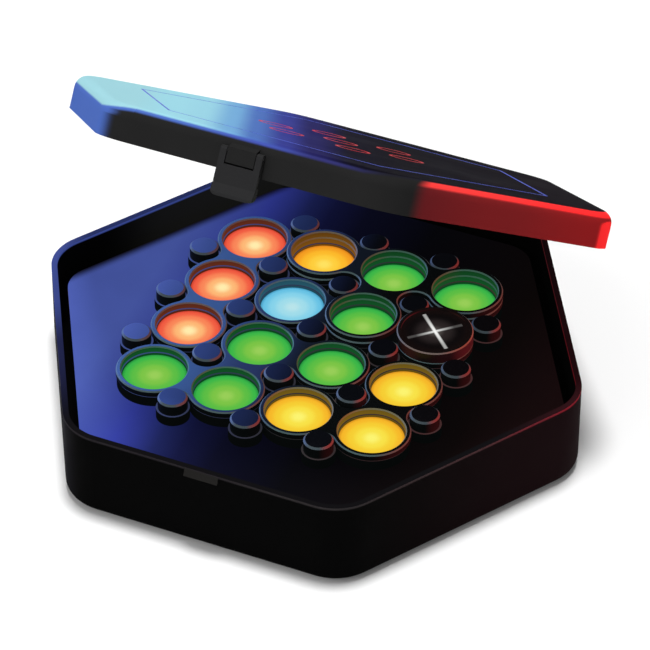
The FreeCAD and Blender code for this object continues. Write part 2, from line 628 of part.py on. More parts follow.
def make_light_key(row, column):
    """Clear round key: lit face, stop flange and the ring foot that presses on the mat."""
    body = new_body("light_key_r%dc%d" % (row, column))
    place = [cell_centre(row, column)]
    sketch = new_sketch(body, "XY", "layout.flange_bottom")
    add_circles(sketch, place, "flange_radius")
    pad(body, sketch, "sizes.flange_height")
    sketch = new_sketch(body, "XY", "layout.flange_bottom")
    add_circles(sketch, place, "key_radius")
    pad(body, sketch, "layout.key_top - layout.flange_bottom")
    sketch = new_sketch(body, "XY", "layout.plunger_bottom")
    add_circles(sketch, place, "plunger_outer")
    add_circles(sketch, place, "plunger_inner")
    pad(body, sketch, "sizes.plunger_length")
    return body


def make_key_mat():
    """Rubber mat on the lamp board, with a springy ring under each key."""
    body = new_body("key_mat")
    sketch = new_sketch(body, "XY", "layout.board_top")
    add_rectangle(sketch, (0, 0), "mat_width", "mat_width")
    pad(body, sketch, "sizes.mat_thickness")
    sketch = new_sketch(body, "XY", "layout.board_top")
    add_circles(sketch, CELL_CENTRES, "plunger_outer")
    pad(body, sketch, "layout.plunger_bottom - sizes.mat_gap - layout.board_top")
    sketch = new_sketch(body, "XY", "layout.plunger_bottom")
    add_circles(sketch, CELL_CENTRES, "mat_hole")
    pocket(body, sketch, "layout.plunger_bottom - layout.board_top")
    sketch = new_sketch(body, "XY", "layout.mat_top")
    add_circles(sketch, [(0, 0)], "boss_radius")
    pocket(body, sketch, "sizes.mat_thickness")
    return body


def make_lamp_board():
    """Square circuit board screwed under the deck."""
    body = new_body("lamp_board")
    sketch = new_sketch(body, "XY", "layout.board_bottom")
    add_rectangle(sketch, (0, 0), "board_width", "board_width")
    pad(body, sketch, "sizes.board_thickness")
    sketch = new_sketch(body, "XY", "layout.board_top")
    add_circles(sketch, BOARD_SCREWS, "passing_radius")
    pocket(body, sketch, "sizes.board_thickness")
    return body


def make_lamps():
    """One square lamp on the board under each key."""
    body = new_body("lamps")
    sketch = new_sketch(body, "XY", "layout.board_top")
    for place in CELL_CENTRES:
        add_rectangle(sketch, place, "lamp_width", "lamp_width")
    pad(body, sketch, "sizes.lamp_height")
    return body


def make_chip(label, width, place):
    """Square chip under the board."""
    body = new_body(label)
    sketch = new_sketch(body, "XY", "layout.board_bottom")
    add_rectangle(sketch, place, width, width)
    pad(body, sketch, "sizes.chip_height", True)
    return body


def make_screws(label, places, head, head_height, shank, seat, length):
    """Pan-head screws that point upwards, with their heads under the seat."""
    body = new_body(label)
    sketch = new_sketch(body, "XY", seat)
    add_circles(sketch, places, head)
    pad(body, sketch, head_height, True)
    sketch = new_sketch(body, "XY", seat)
    add_circles(sketch, places, shank)
    pad(body, sketch, length)
    return body


def make_battery_cell(number, x, facing):
    """Round cell lying along Y with its nub towards one end of the bay."""
    body = new_body("battery_cell_%d" % number)
    shoulder = "sizes.bay_offset - %d * layout.cell_shoulder" % facing
    sketch = new_sketch(body, "XZ", shoulder)
    add_circles(sketch, [(x, size("cell_height"))], "cell_radius")
    pad(body, sketch, "sizes.cell_length", facing < 0)
    sketch = new_sketch(body, "XZ", shoulder)
    add_circles(sketch, [(x, size("cell_height"))], "nub_radius")
    pad(body, sketch, "sizes.nub_length", facing > 0)
    return body


def make_contact_plates():
    """Flat contacts that the cells' nubs touch."""
    body = new_body("contact_plates")
    sketch = new_sketch(body, "XY", "layout.contact_bottom")
    for x, facing in CELL_PLACES:
        place = (x, BAY[1] + facing * size("contact_place"))
        add_rectangle(sketch, place, "contact_width", "contact_thickness")
    pad(body, sketch, "layout.contact_top - layout.contact_bottom")
    return body


def make_contact_springs():
    """Bent leaf springs between the cells' flat ends and the bay's wall."""
    body = new_body("contact_springs")
    sketch = new_sketch(body, "XY", "layout.contact_bottom")
    thick, half = size("contact_thickness"), size("contact_width") / 2
    for x, facing in CELL_PLACES:
        wall = BAY[1] - facing * size("bay_length") / 2
        crest = wall + facing * (size("spring_room") + thick)
        points = [(x - half, wall), (x + half, wall), (x + half, wall + facing * thick),
                  (x + thick, crest), (x - thick, crest), (x - half, wall + facing * thick)]
        inner = [(x - half / 2, wall + facing * thick), (x + half / 2, wall + facing * thick),
                 (x, crest - facing * 2 * thick)]
        add_polygon(sketch, points)
        add_polygon(sketch, inner)
    pad(body, sketch, "sizes.contact_width")
    return body


def make_battery_door():
    """Flat door in the tub's underside with two counterbored screw holes."""
    body = new_body("battery_door")
    sketch = new_sketch(body, "XY", "sizes.door_sunk")
    add_rectangle(sketch, BAY, "door_width", "door_length")
    pad(body, sketch, "sizes.door_thickness")
    holes = (("door_head_bore", "layout.door_head_seat - sizes.door_sunk"),
             ("door_passing", "sizes.door_thickness"))
    for radius, depth in holes:
        sketch = new_sketch(body, "XY", "sizes.door_sunk")
        add_circles(sketch, DOOR_SCREWS, radius)
        pocket(body, sketch, depth, True)
    return body


def make_switch_body():
    """Slide switch on the tub's floor, with a slot for the knob's stem."""
    body = new_body("power_switch_body")
    sketch = new_sketch(body, "XY", "sizes.tub_floor")
    add_rectangle(sketch, SWITCH, "switch_length", "switch_width")
    pad(body, sketch, "sizes.switch_height")
    sketch = new_sketch(body, "XY", "sizes.tub_floor")
    add_rectangle(sketch, SWITCH, "stem_slot_length", "stem_slot_width")
    pocket(body, sketch, "sizes.stem_reach + sizes.knob_gap", True)
    return body


def make_switch_knob():
    """Knob in the floor's slot, at the off end of its travel."""
    body = new_body("power_switch_knob")
    place = (SWITCH[0] - size("switch_travel") / 2, SWITCH[1])
    sketch = new_sketch(body, "XY", "sizes.knob_sunk")
    add_rectangle(sketch, place, "knob_length", "knob_width")
    pad(body, sketch, "sizes.tub_floor - sizes.knob_sunk - sizes.contact_gap")
    sketch = new_sketch(body, "XY", "sizes.knob_sunk")
    add_rectangle(sketch, place, "knob_stem", "knob_stem")
    pad(body, sketch, "sizes.tub_floor + sizes.stem_reach - sizes.knob_sunk")
    return body


def make_leads(label, places, bottom):
    """Short lead wires that stand between a terminal and the lamp board."""
    body = new_body(label)
    sketch = new_sketch(body, "XY", bottom)
    add_circles(sketch, places, "lead_radius")
    pad(body, sketch, "layout.board_bottom - " + bottom)
    return body


# Everything on the lid is drawn shut and then swung open about the hinge axis
def swing_open(body):
    turn = Rotation(Vector(-1, 0, 0), size("lid_open"))
    body.Placement = Placement(Vector(0, 0, 0), turn, Vector(0, *HINGE_AXIS))


def make_lid_shell():
    """Hexagonal lid with a rounded top edge, hinge knuckles and the clasp's lug."""
    body = new_body("lid_shell")
    sketch = new_sketch(body, "XY", "layout.lid_bottom")
    add_hexagon(sketch, "case_apothem", "corner_radius")
    pad(body, sketch, "sizes.lid_height")
    top = size("lid_bottom") + size("lid_height")
    dress(body, "Fillet", "Radius", "sizes.lid_round", lambda e: at_height(e, top))
    sketch = new_sketch(body, "XY", "layout.lid_bottom")
    add_hexagon(sketch, "lid_inner_apothem", "lid_inner_corner")
    pocket(body, sketch, "sizes.lid_height - sizes.lid_wall", True)

    # lug between the clasp's arms, with its pin hole
    wall = -size("case_apothem")
    inside = wall + size("lid_wall") / 2
    face = -size("lug_face")
    sketch = new_sketch(body, "YZ", "-sizes.lug_width / 2")
    add_polygon(sketch, [(inside, size("lug_bottom")), (face, size("lug_bottom")),
                         (face, size("clasp_top")), (wall, size("lug_top")), (inside, size("lug_top"))])
    pad(body, sketch, "sizes.lug_width")
    bore_along_x(body, CLASP_AXIS, "clasp_pin_bore", "sizes.lug_width")

    # hinge knuckles either side of the tub's
    root = size("case_apothem") - size("lid_wall") / 2
    low = size("lid_bottom") + size("knuckle_gap")
    feet = [(size("case_apothem") + size("knuckle_gap"), low), (root, low),
            (root, size("lid_bottom") + size("lid_foot"))]
    middles = ["%s sizes.hinge_spread %s layout.knuckle_step" % (side, end) for side in "+-" for end in "+-"]
    add_knuckles(body, middles, "lid_knuckle", feet)
    bore_along_x(body, HINGE_AXIS, "pin_bore", HINGE_REACH)
    swing_open(body)
    return body


def make_hinge_pin(label, side):
    """Steel pin through one hinge."""
    body = new_body(label)
    sketch = new_sketch(body, "YZ", "%d * sizes.hinge_spread - layout.hinge_width / 2" % side)
    add_circles(sketch, [HINGE_AXIS], "pin_radius")
    pad(body, sketch, "layout.hinge_width")
    swing_open(body)
    return body


def make_clasp():
    """Plate with two arms round the lid's lug, a hook for the keeper and a finger lip."""
    body = new_body("clasp")
    half, notch = size("clasp_width") / 2, size("notch_width") / 2
    low, high, floor = size("clasp_bottom"), size("clasp_top"), size("notch_bottom")
    sketch = new_sketch(body, "XZ", "layout.clasp_back")
    add_polygon(sketch, [(-half, low), (half, low), (half, high), (notch, high),
                         (notch, floor), (-notch, floor), (-notch, high), (-half, high)])
    pad(body, sketch, "sizes.clasp_thickness")
    dress(body, "Fillet", "Radius", "(sizes.clasp_thickness - sizes.arm_flat) / 2",
          lambda e: at_height(e, high) and e.BoundBox.YLength < 1e-6)
    sketch = new_sketch(body, "YZ", "-sizes.clasp_width / 2")
    face, lip = -size("clasp_face"), -size("lip_face")
    inside = face + size("lip_reach")
    add_polygon(sketch, [(inside, low), (lip, low), (lip, low + size("lip_edge")),
                         (face, low + size("lip_height")), (inside, low + size("lip_height"))])
    pad(body, sketch, "sizes.clasp_width")

    # lower corners, then the groove behind the hook and the pin hole
    sketch = new_sketch(body, "XZ", "layout.clasp_back")
    radius = size("clasp_round")
    for side in (-1, 1):
        corner = Vector(side * half, low, 0)
        beside, above = Vector(side * (half - radius), low, 0), Vector(side * half, low + radius, 0)
        centre = Vector(beside.x, above.y, 0)
        sketch.addGeometry(Part.LineSegment(above, corner), False)
        sketch.addGeometry(Part.LineSegment(corner, beside), False)
        add_arc(sketch, centre, "clasp_round", *((above, beside) if side < 0 else (beside, above)))
    pocket(body, sketch, "sizes.clasp_thickness + sizes.lip_reach", True)
    sketch = new_sketch(body, "XZ", "layout.clasp_back")
    middle = (0, size("rim_height") - size("keeper_height") / 2)
    add_rectangle(sketch, middle, "hollow_width", "hollow_height")
    pocket(body, sketch, "layout.keeper_face + sizes.keeper_room - layout.clasp_back", True)
    bore_along_x(body, CLASP_AXIS, "clasp_pin_bore", "sizes.clasp_width")
    swing_open(body)
    return body


def make_clasp_pin():
    """Thin pin through the clasp's arms and the lid's lug."""
    body = new_body("clasp_pin")
    sketch = new_sketch(body, "YZ", "-sizes.clasp_width / 2")
    add_circles(sketch, [CLASP_AXIS], "clasp_pin_radius")
    pad(body, sketch, "sizes.clasp_width")
    swing_open(body)
    return body


# Ring tiles
def tile_boundary(cells):
    """Walks round the cells and gives the grid corner at the end of each side, with the side's cell."""
    edges = {}
    for row, column in cells:
        corners = [(row + dr, column + dc) for dr, dc in ((1, 0), (1, 1), (0, 1), (0, 0))]
        for here, there in zip(corners, corners[1:] + corners[:1]):
            edges[(here, there)] = (row, column)
    outer = {a: (b, cell) for (a, b), cell in edges.items() if (b, a) not in edges}
    start = min(outer)
    walk, corner = [], start
    while True:
        following, cell = outer[corner]
        corner = following
        walk.append((corner, cell))
        if corner == start:
            return walk


def grid_corner(row, column):
    """Place of the grid corner above and left of a cell."""
    x, y = cell_centre(row, column)
    return Vector(x - size("pitch") / 2, y + size("pitch") / 2, 0)


def add_tile_outline(sketch, cells):
    """Arcs round the rings, joined by hollow arcs round the posts between them."""
    walk = tile_boundary(cells)
    hollows = []
    for (corner, before), (_, after) in zip(walk, walk[1:] + walk[:1]):
        if before != after:
            hollows.append((grid_corner(*corner), Vector(*cell_centre(*before), 0),
                            Vector(*cell_centre(*after), 0)))
    for (post, before, after), (next_post, _, _) in zip(hollows, hollows[1:] + hollows[:1]):
        add_arc(sketch, post, "notch_radius", after, before)
        add_arc(sketch, after, "ring_radius", post, next_post)


def make_tile(label, cells, height):
    """Flat tile of joined rings, with bevelled edges."""
    body = new_body(label)
    sketch = new_sketch(body, "XY", height)
    add_tile_outline(sketch, cells)
    add_circles(sketch, [cell_centre(*cell) for cell in cells], "well_radius")
    pad(body, sketch, "sizes.tile_thickness")
    dress(body, "Chamfer", "Size", "sizes.tile_chamfer", lambda e: e.BoundBox.ZLength < 1e-6)
    return body


# Cross cap
def add_cross(sketch, centre, play):
    """A cross whose arms run along the grid's diagonals."""
    arm = size("cross_arm") + play
    half = size("cross_stroke") / 2 + play
    quarter = [(half, half), (half, arm), (-half, arm)]
    turns = [math.radians(45 + 90 * k) for k in range(4)]
    add_polygon(sketch, [(centre[0] + x * math.cos(turn) - y * math.sin(turn),
                          centre[1] + x * math.sin(turn) + y * math.cos(turn))
                         for turn in turns for x, y in quarter])


CAP_CENTRE = cell_centre(2, 4)


def make_cross_cap():
    """Round cap on the second layer, hollow underneath, with a cross cut through its face."""
    body = new_body("cross_cap")
    sketch = new_sketch(body, "XY", "layout.second_layer")
    add_circles(sketch, [CAP_CENTRE], "ring_radius")
    pad(body, sketch, "sizes.cap_height")
    top = size("cap_top")
    dress(body, "Chamfer", "Size", "sizes.tile_chamfer", lambda e: at_height(e, top))
    sketch = new_sketch(body, "XY", "layout.cap_top")
    add_circles(sketch, [CAP_CENTRE], "cap_face_radius")
    pocket(body, sketch, "sizes.cap_recess")
    sketch = new_sketch(body, "XY", "layout.second_layer")
    add_circles(sketch, [CAP_CENTRE], "well_radius")
    pocket(body, sketch, "layout.cap_ceiling - layout.second_layer", True)
    sketch = new_sketch(body, "XY", "layout.cap_face")
    add_cross(sketch, CAP_CENTRE, size("lens_play"))
    pocket(body, sketch, "sizes.cap_plate")
    return body


def make_cross_lens():
    """Clear plate under the cap's face with a cross that fills the slot."""
    body = new_body("cross_lens")
    sketch = new_sketch(body, "XY", "layout.cap_ceiling")
    add_circles(sketch, [CAP_CENTRE], "lens_radius")
    pad(body, sketch, "sizes.lens_thickness", True)
    sketch = new_sketch(body, "XY", "layout.cap_ceiling")
    add_cross(sketch, CAP_CENTRE, 0)
    pad(body, sketch, "sizes.cap_plate")
    return body


FIRST, SECOND = "layout.seat_top", "layout.second_layer"
TILES = [
    ("tile_line_left", [(1, 1), (2, 1), (3, 1)], FIRST),
    ("tile_line_middle", [(2, 2), (2, 3), (2, 4)], FIRST),
    ("tile_line_back", [(1, 2), (1, 3), (1, 4)], FIRST),
    ("tile_step", [(4, 1), (4, 2), (3, 2), (3, 3)], FIRST),
    ("tile_corner", [(4, 3), (4, 4), (3, 4)], FIRST),
    ("tile_tee", [(1, 2), (1, 3), (1, 4), (2, 3)], SECOND),
]

pieces = [make_base_tub(), make_play_deck(), make_guide_posts()]
pieces += [make_light_key(row, column) for row, column in CELLS]
pieces += [make_key_mat(), make_lamp_board(), make_lamps()]
pieces.append(make_chip("control_chip", "chip_width", (size("chip_offset"), size("chip_offset"))))
pieces.append(make_chip("lamp_driver", "driver_width", (-size("chip_offset"), size("chip_offset"))))
pieces.append(make_screws("deck_screws", DECK_SCREWS, "head_radius", "sizes.head_height", "screw_radius",
                          "layout.head_seat", "sizes.screw_seat + sizes.screw_bite"))
pieces.append(make_screws("board_screws", BOARD_SCREWS, "head_radius", "sizes.head_height", "screw_radius",
                          "layout.board_bottom", "sizes.board_thickness + sizes.board_bite"))
pieces += [make_battery_cell(k, *place) for k, place in enumerate(CELL_PLACES, start=1)]
pieces += [make_contact_plates(), make_contact_springs()]
pieces.append(make_leads("battery_leads", BATTERY_LEADS, "layout.contact_top"))
pieces.append(make_battery_door())
pieces.append(make_screws("door_screws", DOOR_SCREWS, "door_head_radius", "sizes.door_head_height",
                          "door_screw_radius", "layout.door_head_seat",
                          "layout.door_screw_tip - layout.door_head_seat"))
pieces += [make_switch_body(), make_switch_knob()]
pieces.append(make_leads("switch_leads", SWITCH_LEADS, "layout.switch_top"))
pieces += [make_lid_shell(), make_hinge_pin("hinge_pin_left", -1), make_hinge_pin("hinge_pin_right", 1)]
pieces += [make_clasp(), make_clasp_pin()]
pieces += [make_tile(*tile) for tile in TILES]
pieces += [make_cross_cap(), make_cross_lens()]

doc.recompute()
failed = [o.Name for o in doc.Objects if "Invalid" in o.State or "Error" in o.State]
failed += [p.Label for p in pieces if p.Shape.isNull() or not p.Shape.isValid() or not p.Shape.Solids]
if failed:
    raise RuntimeError("not built: " + ", ".join(failed))

os.makedirs("parts", exist_ok=True)
for piece in pieces:
    piece.Shape.exportStep("parts/%s.step" % piece.Label)
    print(piece.Label, len(piece.Shape.Solids), round(piece.Shape.Volume, 1))
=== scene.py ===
import json
import math

import bpy
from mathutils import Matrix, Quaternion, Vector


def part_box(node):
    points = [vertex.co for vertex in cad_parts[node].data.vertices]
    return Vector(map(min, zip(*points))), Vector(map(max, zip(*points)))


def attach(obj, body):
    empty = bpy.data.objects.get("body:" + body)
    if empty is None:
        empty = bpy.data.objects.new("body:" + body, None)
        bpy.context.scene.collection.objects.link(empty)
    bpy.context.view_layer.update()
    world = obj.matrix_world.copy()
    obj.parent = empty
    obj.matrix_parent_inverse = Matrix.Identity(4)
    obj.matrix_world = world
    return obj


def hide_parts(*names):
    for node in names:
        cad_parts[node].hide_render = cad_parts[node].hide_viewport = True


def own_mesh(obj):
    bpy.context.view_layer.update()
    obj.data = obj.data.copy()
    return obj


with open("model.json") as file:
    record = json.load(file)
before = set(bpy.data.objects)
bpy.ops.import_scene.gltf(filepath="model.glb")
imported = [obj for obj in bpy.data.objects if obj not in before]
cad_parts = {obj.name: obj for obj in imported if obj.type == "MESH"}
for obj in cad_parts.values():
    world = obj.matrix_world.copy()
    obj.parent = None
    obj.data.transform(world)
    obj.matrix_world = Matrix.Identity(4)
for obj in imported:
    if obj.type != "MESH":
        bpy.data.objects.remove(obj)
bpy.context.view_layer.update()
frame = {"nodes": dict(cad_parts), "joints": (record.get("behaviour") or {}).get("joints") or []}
bpy.ops.object.select_all(action="DESELECT")


# Base tub: the hexagonal lower half of the case, one injection moulding in matt black plastic with
# a spark-eroded skin. A ramped keeper for the clasp stands out of its front wall. Light is painted
# into its colour: a painted blue sheen on its rim and faces on the left and a painted red one on the
# right, painted light on its underside, on the inner face of the back-left wall and on the keeper,
# and a faint painted glow all over.

RIGHT = (1, 0, 0)
LEFT = (-1, 0, 0)
BACK = (0, 1, 0)
FRONT = (0, -1, 0)
UP = (0, 0, 1)
DOWN = (0, 0, -1)
PATCH_SIZE = 0.03
GLOSS_SPREAD = 0.08
RIM_BAND = (0.0465, 0.0476)
RIM_SPAN = (0.03, 0.15)
HINGE_SIDE = (0.1310, 0.1302)
KEEPER_FRONT = (0.1300, 0.1303)
INTO_CASE = (0.866, -0.5, 0)
BACK_LEFT = (-0.5, 0.866, 0)
LEFT_CORNER = (-1, 0.35, 0)
RIGHT_CORNER = (1, 0.35, 0)


def ink(red, green, blue):
    """A colour as seen on a screen, turned into the value that a shader takes."""
    parts = []
    for part in (red / 255, green / 255, blue / 255):
        parts.append(part / 12.92 if part <= 0.04045 else ((part + 0.055) / 1.055) ** 2.4)
    return (*parts, 1.0)


def start_finish(name):
    """A new material, with its node tree and its shader."""
    finish = bpy.data.materials.new(name)
    finish.use_nodes = True
    return finish, finish.node_tree, finish.node_tree.nodes["Principled BSDF"]


def put(tree, kind, inputs, **settings):
    """Adds one node, with each input given as a plain value or as the socket it comes from."""
    node = tree.nodes.new(kind)
    for name, value in settings.items():
        setattr(node, name, value)
    for name, value in inputs.items():
        if isinstance(value, bpy.types.NodeSocket):
            tree.links.new(value, node.inputs[name])
        else:
            node.inputs[name].default_value = value
    return node


def feed(shader, socket, source):
    """Links a colour or a value to one of a shader's sockets."""
    shader.id_data.links.new(source, shader.inputs[socket])


def place_of(tree):
    """Where a point lies on the part."""
    return put(tree, "ShaderNodeTexCoord", {}).outputs["Object"]


def facing_of(tree):
    """Which way the surface faces at a point."""
    return put(tree, "ShaderNodeTexCoord", {}).outputs["Normal"]


def combine(tree, how, first, second=0.0):
    """One step of arithmetic with two values."""
    return put(tree, "ShaderNodeMath", {0: first, 1: second}, operation=how).outputs[0]


def times(tree, first, second):
    return combine(tree, "MULTIPLY", first, second)


def steer(tree, how, first, second=(0, 0, 0)):
    """One step of arithmetic with two vectors."""
    return put(tree, "ShaderNodeVectorMath", {0: first, 1: second}, operation=how).outputs


def along(tree, vector, direction, start=0.0):
    """How far a place or a facing reaches in one direction."""
    reach = steer(tree, "DOT_PRODUCT", vector, direction)["Value"]
    return combine(tree, "ADD", reach, start) if start else reach


def fade(tree, value, low, high):
    """Rises softly from 0 at low to 1 at high."""
    return put(tree, "ShaderNodeMapRange", {"Value": value, "From Min": low, "From Max": high},
               interpolation_type="SMOOTHSTEP").outputs["Result"]


def scaled(tree, value, low, high):
    """Spreads low to high over 0 to 1, for a ramp."""
    return put(tree, "ShaderNodeMapRange",
               {"Value": value, "From Min": low, "From Max": high}).outputs["Result"]


def shade(tree, value, stops, interpolation="EASE"):
    """A colour ramp: stops are pairs of a position and a screen colour."""
    band = put(tree, "ShaderNodeValToRGB", {"Fac": value})
    band.color_ramp.interpolation = interpolation
    while len(band.color_ramp.elements) < len(stops):
        band.color_ramp.elements.new(1.0)
    for element, (position, colour) in zip(band.color_ramp.elements, stops):
        element.position = position
        element.color = ink(*colour)
    return band.outputs["Color"]


def two_tone(tree, value, dark, light):
    """Two close tones that follow a speckle."""
    return shade(tree, value, [(0.3, dark), (0.7, light)])


def layer(tree, share, under, over, how="MIX"):
    """Lays one colour over another; a mix node takes colours in its sockets 6 and 7."""
    return put(tree, "ShaderNodeMix", {0: share, 6: under, 7: over},
               data_type="RGBA", blend_type=how).outputs[2]


def speckle(tree, place, size, detail=3.0):
    """Soft random spots of about one size."""
    return put(tree, "ShaderNodeTexNoise",
               {"Vector": place, "Scale": 1 / size, "Detail": detail}).outputs["Fac"]


def dent(tree, shader, height, strength, depth):
    """Raises and sinks the surface a little."""
    bump = put(tree, "ShaderNodeBump", {"Height": height, "Strength": strength, "Distance": depth})
    feed(shader, "Normal", bump.outputs["Normal"])


def moulded_skin(tree, shader, place, rough, pit=0.0008, depth=0.00005):
    """Fine pits in the bump and slow patches in the gloss, as a spark-eroded mould leaves them."""
    patches = speckle(tree, place, PATCH_SIZE, 4.0)
    gloss = put(tree, "ShaderNodeMapRange", {"Value": patches, "From Min": 0.3, "From Max": 0.7,
                                             "To Min": rough - GLOSS_SPREAD, "To Max": rough + GLOSS_SPREAD})
    feed(shader, "Roughness", gloss.outputs["Result"])
    dent(tree, shader, speckle(tree, place, pit), 0.3, depth)
    return patches


def dress(finish, *names):
    """Gives nodes of the frame a finish in place of the plain one."""
    for name in names:
        slots = frame["nodes"][name].data.materials
        slots.clear()
        slots.append(finish)


tub_finish, tree, shader = start_finish("tub_plastic")
place, facing = place_of(tree), facing_of(tree)
to_the_right = along(tree, place, RIGHT)
to_the_back = along(tree, place, BACK)
patches = moulded_skin(tree, shader, place, 0.7)
colour = two_tone(tree, patches, (3, 3, 3), (4, 4, 4))
# Painted sheen: right-facing faces on the right are tinted red, left-facing faces on the left blue
painted_red_sheen = times(tree, fade(tree, to_the_right, 0.075, 0.15),
                   fade(tree, along(tree, facing, RIGHT), 0.2, 0.9))
colour = layer(tree, painted_red_sheen, colour, ink(21, 9, 11))
painted_blue_sheen = times(tree, fade(tree, along(tree, facing, LEFT), 0.3, 0.9),
                  fade(tree, along(tree, place, LEFT), 0.0, 0.05))
colour = layer(tree, painted_blue_sheen, colour, ink(12, 11, 17))
# Painted light: down-facing faces are painted a lighter grey than the black sides
painted_light_underside = fade(tree, along(tree, facing, DOWN), 0.7, 0.95)
colour = layer(tree, painted_light_underside, colour, ink(13, 13, 14))
# Painted light: the inner face of the wall at the back left is painted a lighter grey
painted_light_inner_wall = times(tree, fade(tree, along(tree, facing, INTO_CASE), 0.8, 0.95),
                   fade(tree, along(tree, place, BACK_LEFT), 0.06, 0.125))
painted_light_inner_wall = times(tree, painted_light_inner_wall, fade(tree, to_the_back, 0.02, 0.06))
colour = layer(tree, painted_light_inner_wall, colour, ink(34, 34, 33))

# Painted sheen on the rim: blue towards the left corner, red towards the right, brightest on the rounded edge
rim = times(tree, fade(tree, along(tree, place, UP), *RIM_BAND), fade(tree, to_the_back, *HINGE_SIDE))
leftmost = scaled(tree, along(tree, place, LEFT_CORNER), *RIM_SPAN)
rightmost = scaled(tree, along(tree, place, RIGHT_CORNER), *RIM_SPAN)
flat_rim_sheen = shade(tree, leftmost, [(0.0, (12, 11, 13)), (0.45, (26, 29, 60)),
                                  (0.72, (48, 59, 114)), (1.0, (54, 66, 126))])
flat_rim_sheen = layer(tree, fade(tree, rightmost, 0.6, 1.0), flat_rim_sheen, ink(40, 14, 18))
round_rim_sheen = shade(tree, leftmost, [(0.0, (36, 33, 36)), (0.45, (44, 47, 92)),
                                   (0.72, (74, 94, 176)), (1.0, (84, 104, 188))])
red_rim_sheen = shade(tree, rightmost, [(0.0, (44, 41, 42)), (0.3, (54, 43, 44)), (0.55, (68, 44, 46)),
                                  (0.8, (106, 34, 42)), (0.95, (128, 26, 38))])
round_rim_sheen = layer(tree, fade(tree, to_the_right, 0.0, 0.05), round_rim_sheen, red_rim_sheen)
rounded = fade(tree, along(tree, facing, UP), 0.97, 0.85)
colour = layer(tree, rim, colour, layer(tree, rounded, flat_rim_sheen, round_rim_sheen))
# Painted highlight: the keeper's ramp is painted a lighter grey than the tub
keeper = fade(tree, along(tree, place, FRONT), *KEEPER_FRONT)
colour = layer(tree, keeper, colour, ink(31, 30, 29))
feed(shader, "Base Color", colour)
# Painted glow: the whole tub also gives off its painted colour as faint light
feed(shader, "Emission Color", colour)
shader.inputs["Emission Strength"].default_value = 0.35
shader.inputs["Specular IOR Level"].default_value = 0.012
dress(tub_finish, "base_tub")


# Battery cells and contacts: three round dry cells in printed shrink jackets lie in the bay under
# the deck. Stamped plates and wound springs of plated steel touch their ends, and two insulated
# leads run to the lamp board.

CELL_BLACK = (28, 29, 31)
CELL_COPPER = (172, 122, 62)


def between(tree, value, low, high):
    """Turns 0 to 1 into low to high."""
    return put(tree, "ShaderNodeMapRange",
               {"Value": value, "To Min": low, "To Max": high}).outputs["Result"]


def plated_steel(name, tone, rough, scratch):
    """Rolled or drawn steel with fine draw marks and a few dull spots."""
    finish, tree, shader = start_finish(name)
    place = place_of(tree)
    stretch = put(tree, "ShaderNodeMapping", {"Vector": place, "Scale": scratch}).outputs["Vector"]
    marks = speckle(tree, stretch, 1.0, 5.0)
    spots = speckle(tree, place, 0.003, 4.0)
    dull = tuple(int(part * 0.8) for part in tone)
    feed(shader, "Base Color", shade(tree, spots, [(0.3, dull), (0.65, tone)]))
    feed(shader, "Roughness", between(tree, marks, rough - 0.1, rough + 0.15))
    dent(tree, shader, marks, 0.2, 0.00003)
    shader.inputs["Metallic"].default_value = 1.0
    return finish


def lead_jacket(name, tone):
    """Soft extruded insulation, slightly dusty."""
    finish, tree, shader = start_finish(name)
    dust = speckle(tree, place_of(tree), 0.0015, 4.0)
    dusty = tuple(min(255, part + 22) for part in tone)
    feed(shader, "Base Color", shade(tree, dust, [(0.35, tone), (0.75, dusty)]))
    feed(shader, "Roughness", between(tree, dust, 0.38, 0.6))
    return finish


cell_finish, tree, shader = start_finish("cell_jacket")
place = place_of(tree)
low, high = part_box("battery_cell_1")
lengthwise = max(range(3), key=lambda axis: high[axis] - low[axis])
cell_axis = tuple(1.0 if axis == lengthwise else 0.0 for axis in range(3))
reach = scaled(tree, along(tree, place, cell_axis), low[lengthwise], high[lengthwise])
jacket = shade(tree, reach, [(0.0, (190, 190, 192)), (0.02, CELL_BLACK), (0.66, CELL_BLACK),
                             (0.68, CELL_COPPER), (0.97, CELL_COPPER), (0.98, (196, 196, 198))], "CONSTANT")
scuffs = speckle(tree, place, 0.004, 5.0)
feed(shader, "Base Color", layer(tree, fade(tree, scuffs, 0.55, 0.8), jacket, ink(120, 112, 104)))
feed(shader, "Roughness", between(tree, scuffs, 0.22, 0.5))
shader.inputs["Metallic"].default_value = 0.4
dress(cell_finish, "battery_cell_1", "battery_cell_2", "battery_cell_3")

contact_metal = plated_steel("contact_metal", (205, 203, 196), 0.32, (400.0, 4000.0, 400.0))
dress(contact_metal, "contact_plates", "contact_springs")
dress(lead_jacket("lead_red", (150, 24, 22)), "battery_leads")


# Battery door and its screws: a flat moulded hatch in the same black plastic closes the bay from
# below. Two captive plated screws hold it.

door_finish, tree, shader = start_finish("door_plastic")
patches = moulded_skin(tree, shader, place_of(tree), 0.55)
feed(shader, "Base Color", two_tone(tree, patches, (11, 11, 12), (17, 16, 17)))
shader.inputs["Specular IOR Level"].default_value = 0.08
dress(door_finish, "battery_door")

screw_steel = plated_steel("screw_steel", (176, 176, 174), 0.34, (2500.0, 2500.0, 500.0))
dress(screw_steel, "door_screws")


# Power switch: a small slide switch inside the tub, with a moulded body, a knob that reaches
# through a slot in the floor, and two thin insulated leads to the lamp board.

switch_finish, tree, shader = start_finish("switch_plastic")
patches = moulded_skin(tree, shader, place_of(tree), 0.42, 0.0005)
feed(shader, "Base Color", two_tone(tree, patches, (30, 30, 32), (42, 41, 42)))
shader.inputs["Specular IOR Level"].default_value = 0.3
dress(switch_finish, "power_switch_body", "power_switch_knob")
dress(lead_jacket("lead_black", (20, 20, 21)), "switch_leads")


# Lamp board, lamps and chips: a glass-fibre board with green solder mask carries sixteen white
# lamps, the control chip and the lamp driver. Five screws hold it to bosses in the tub, and six
# like them hold the deck.

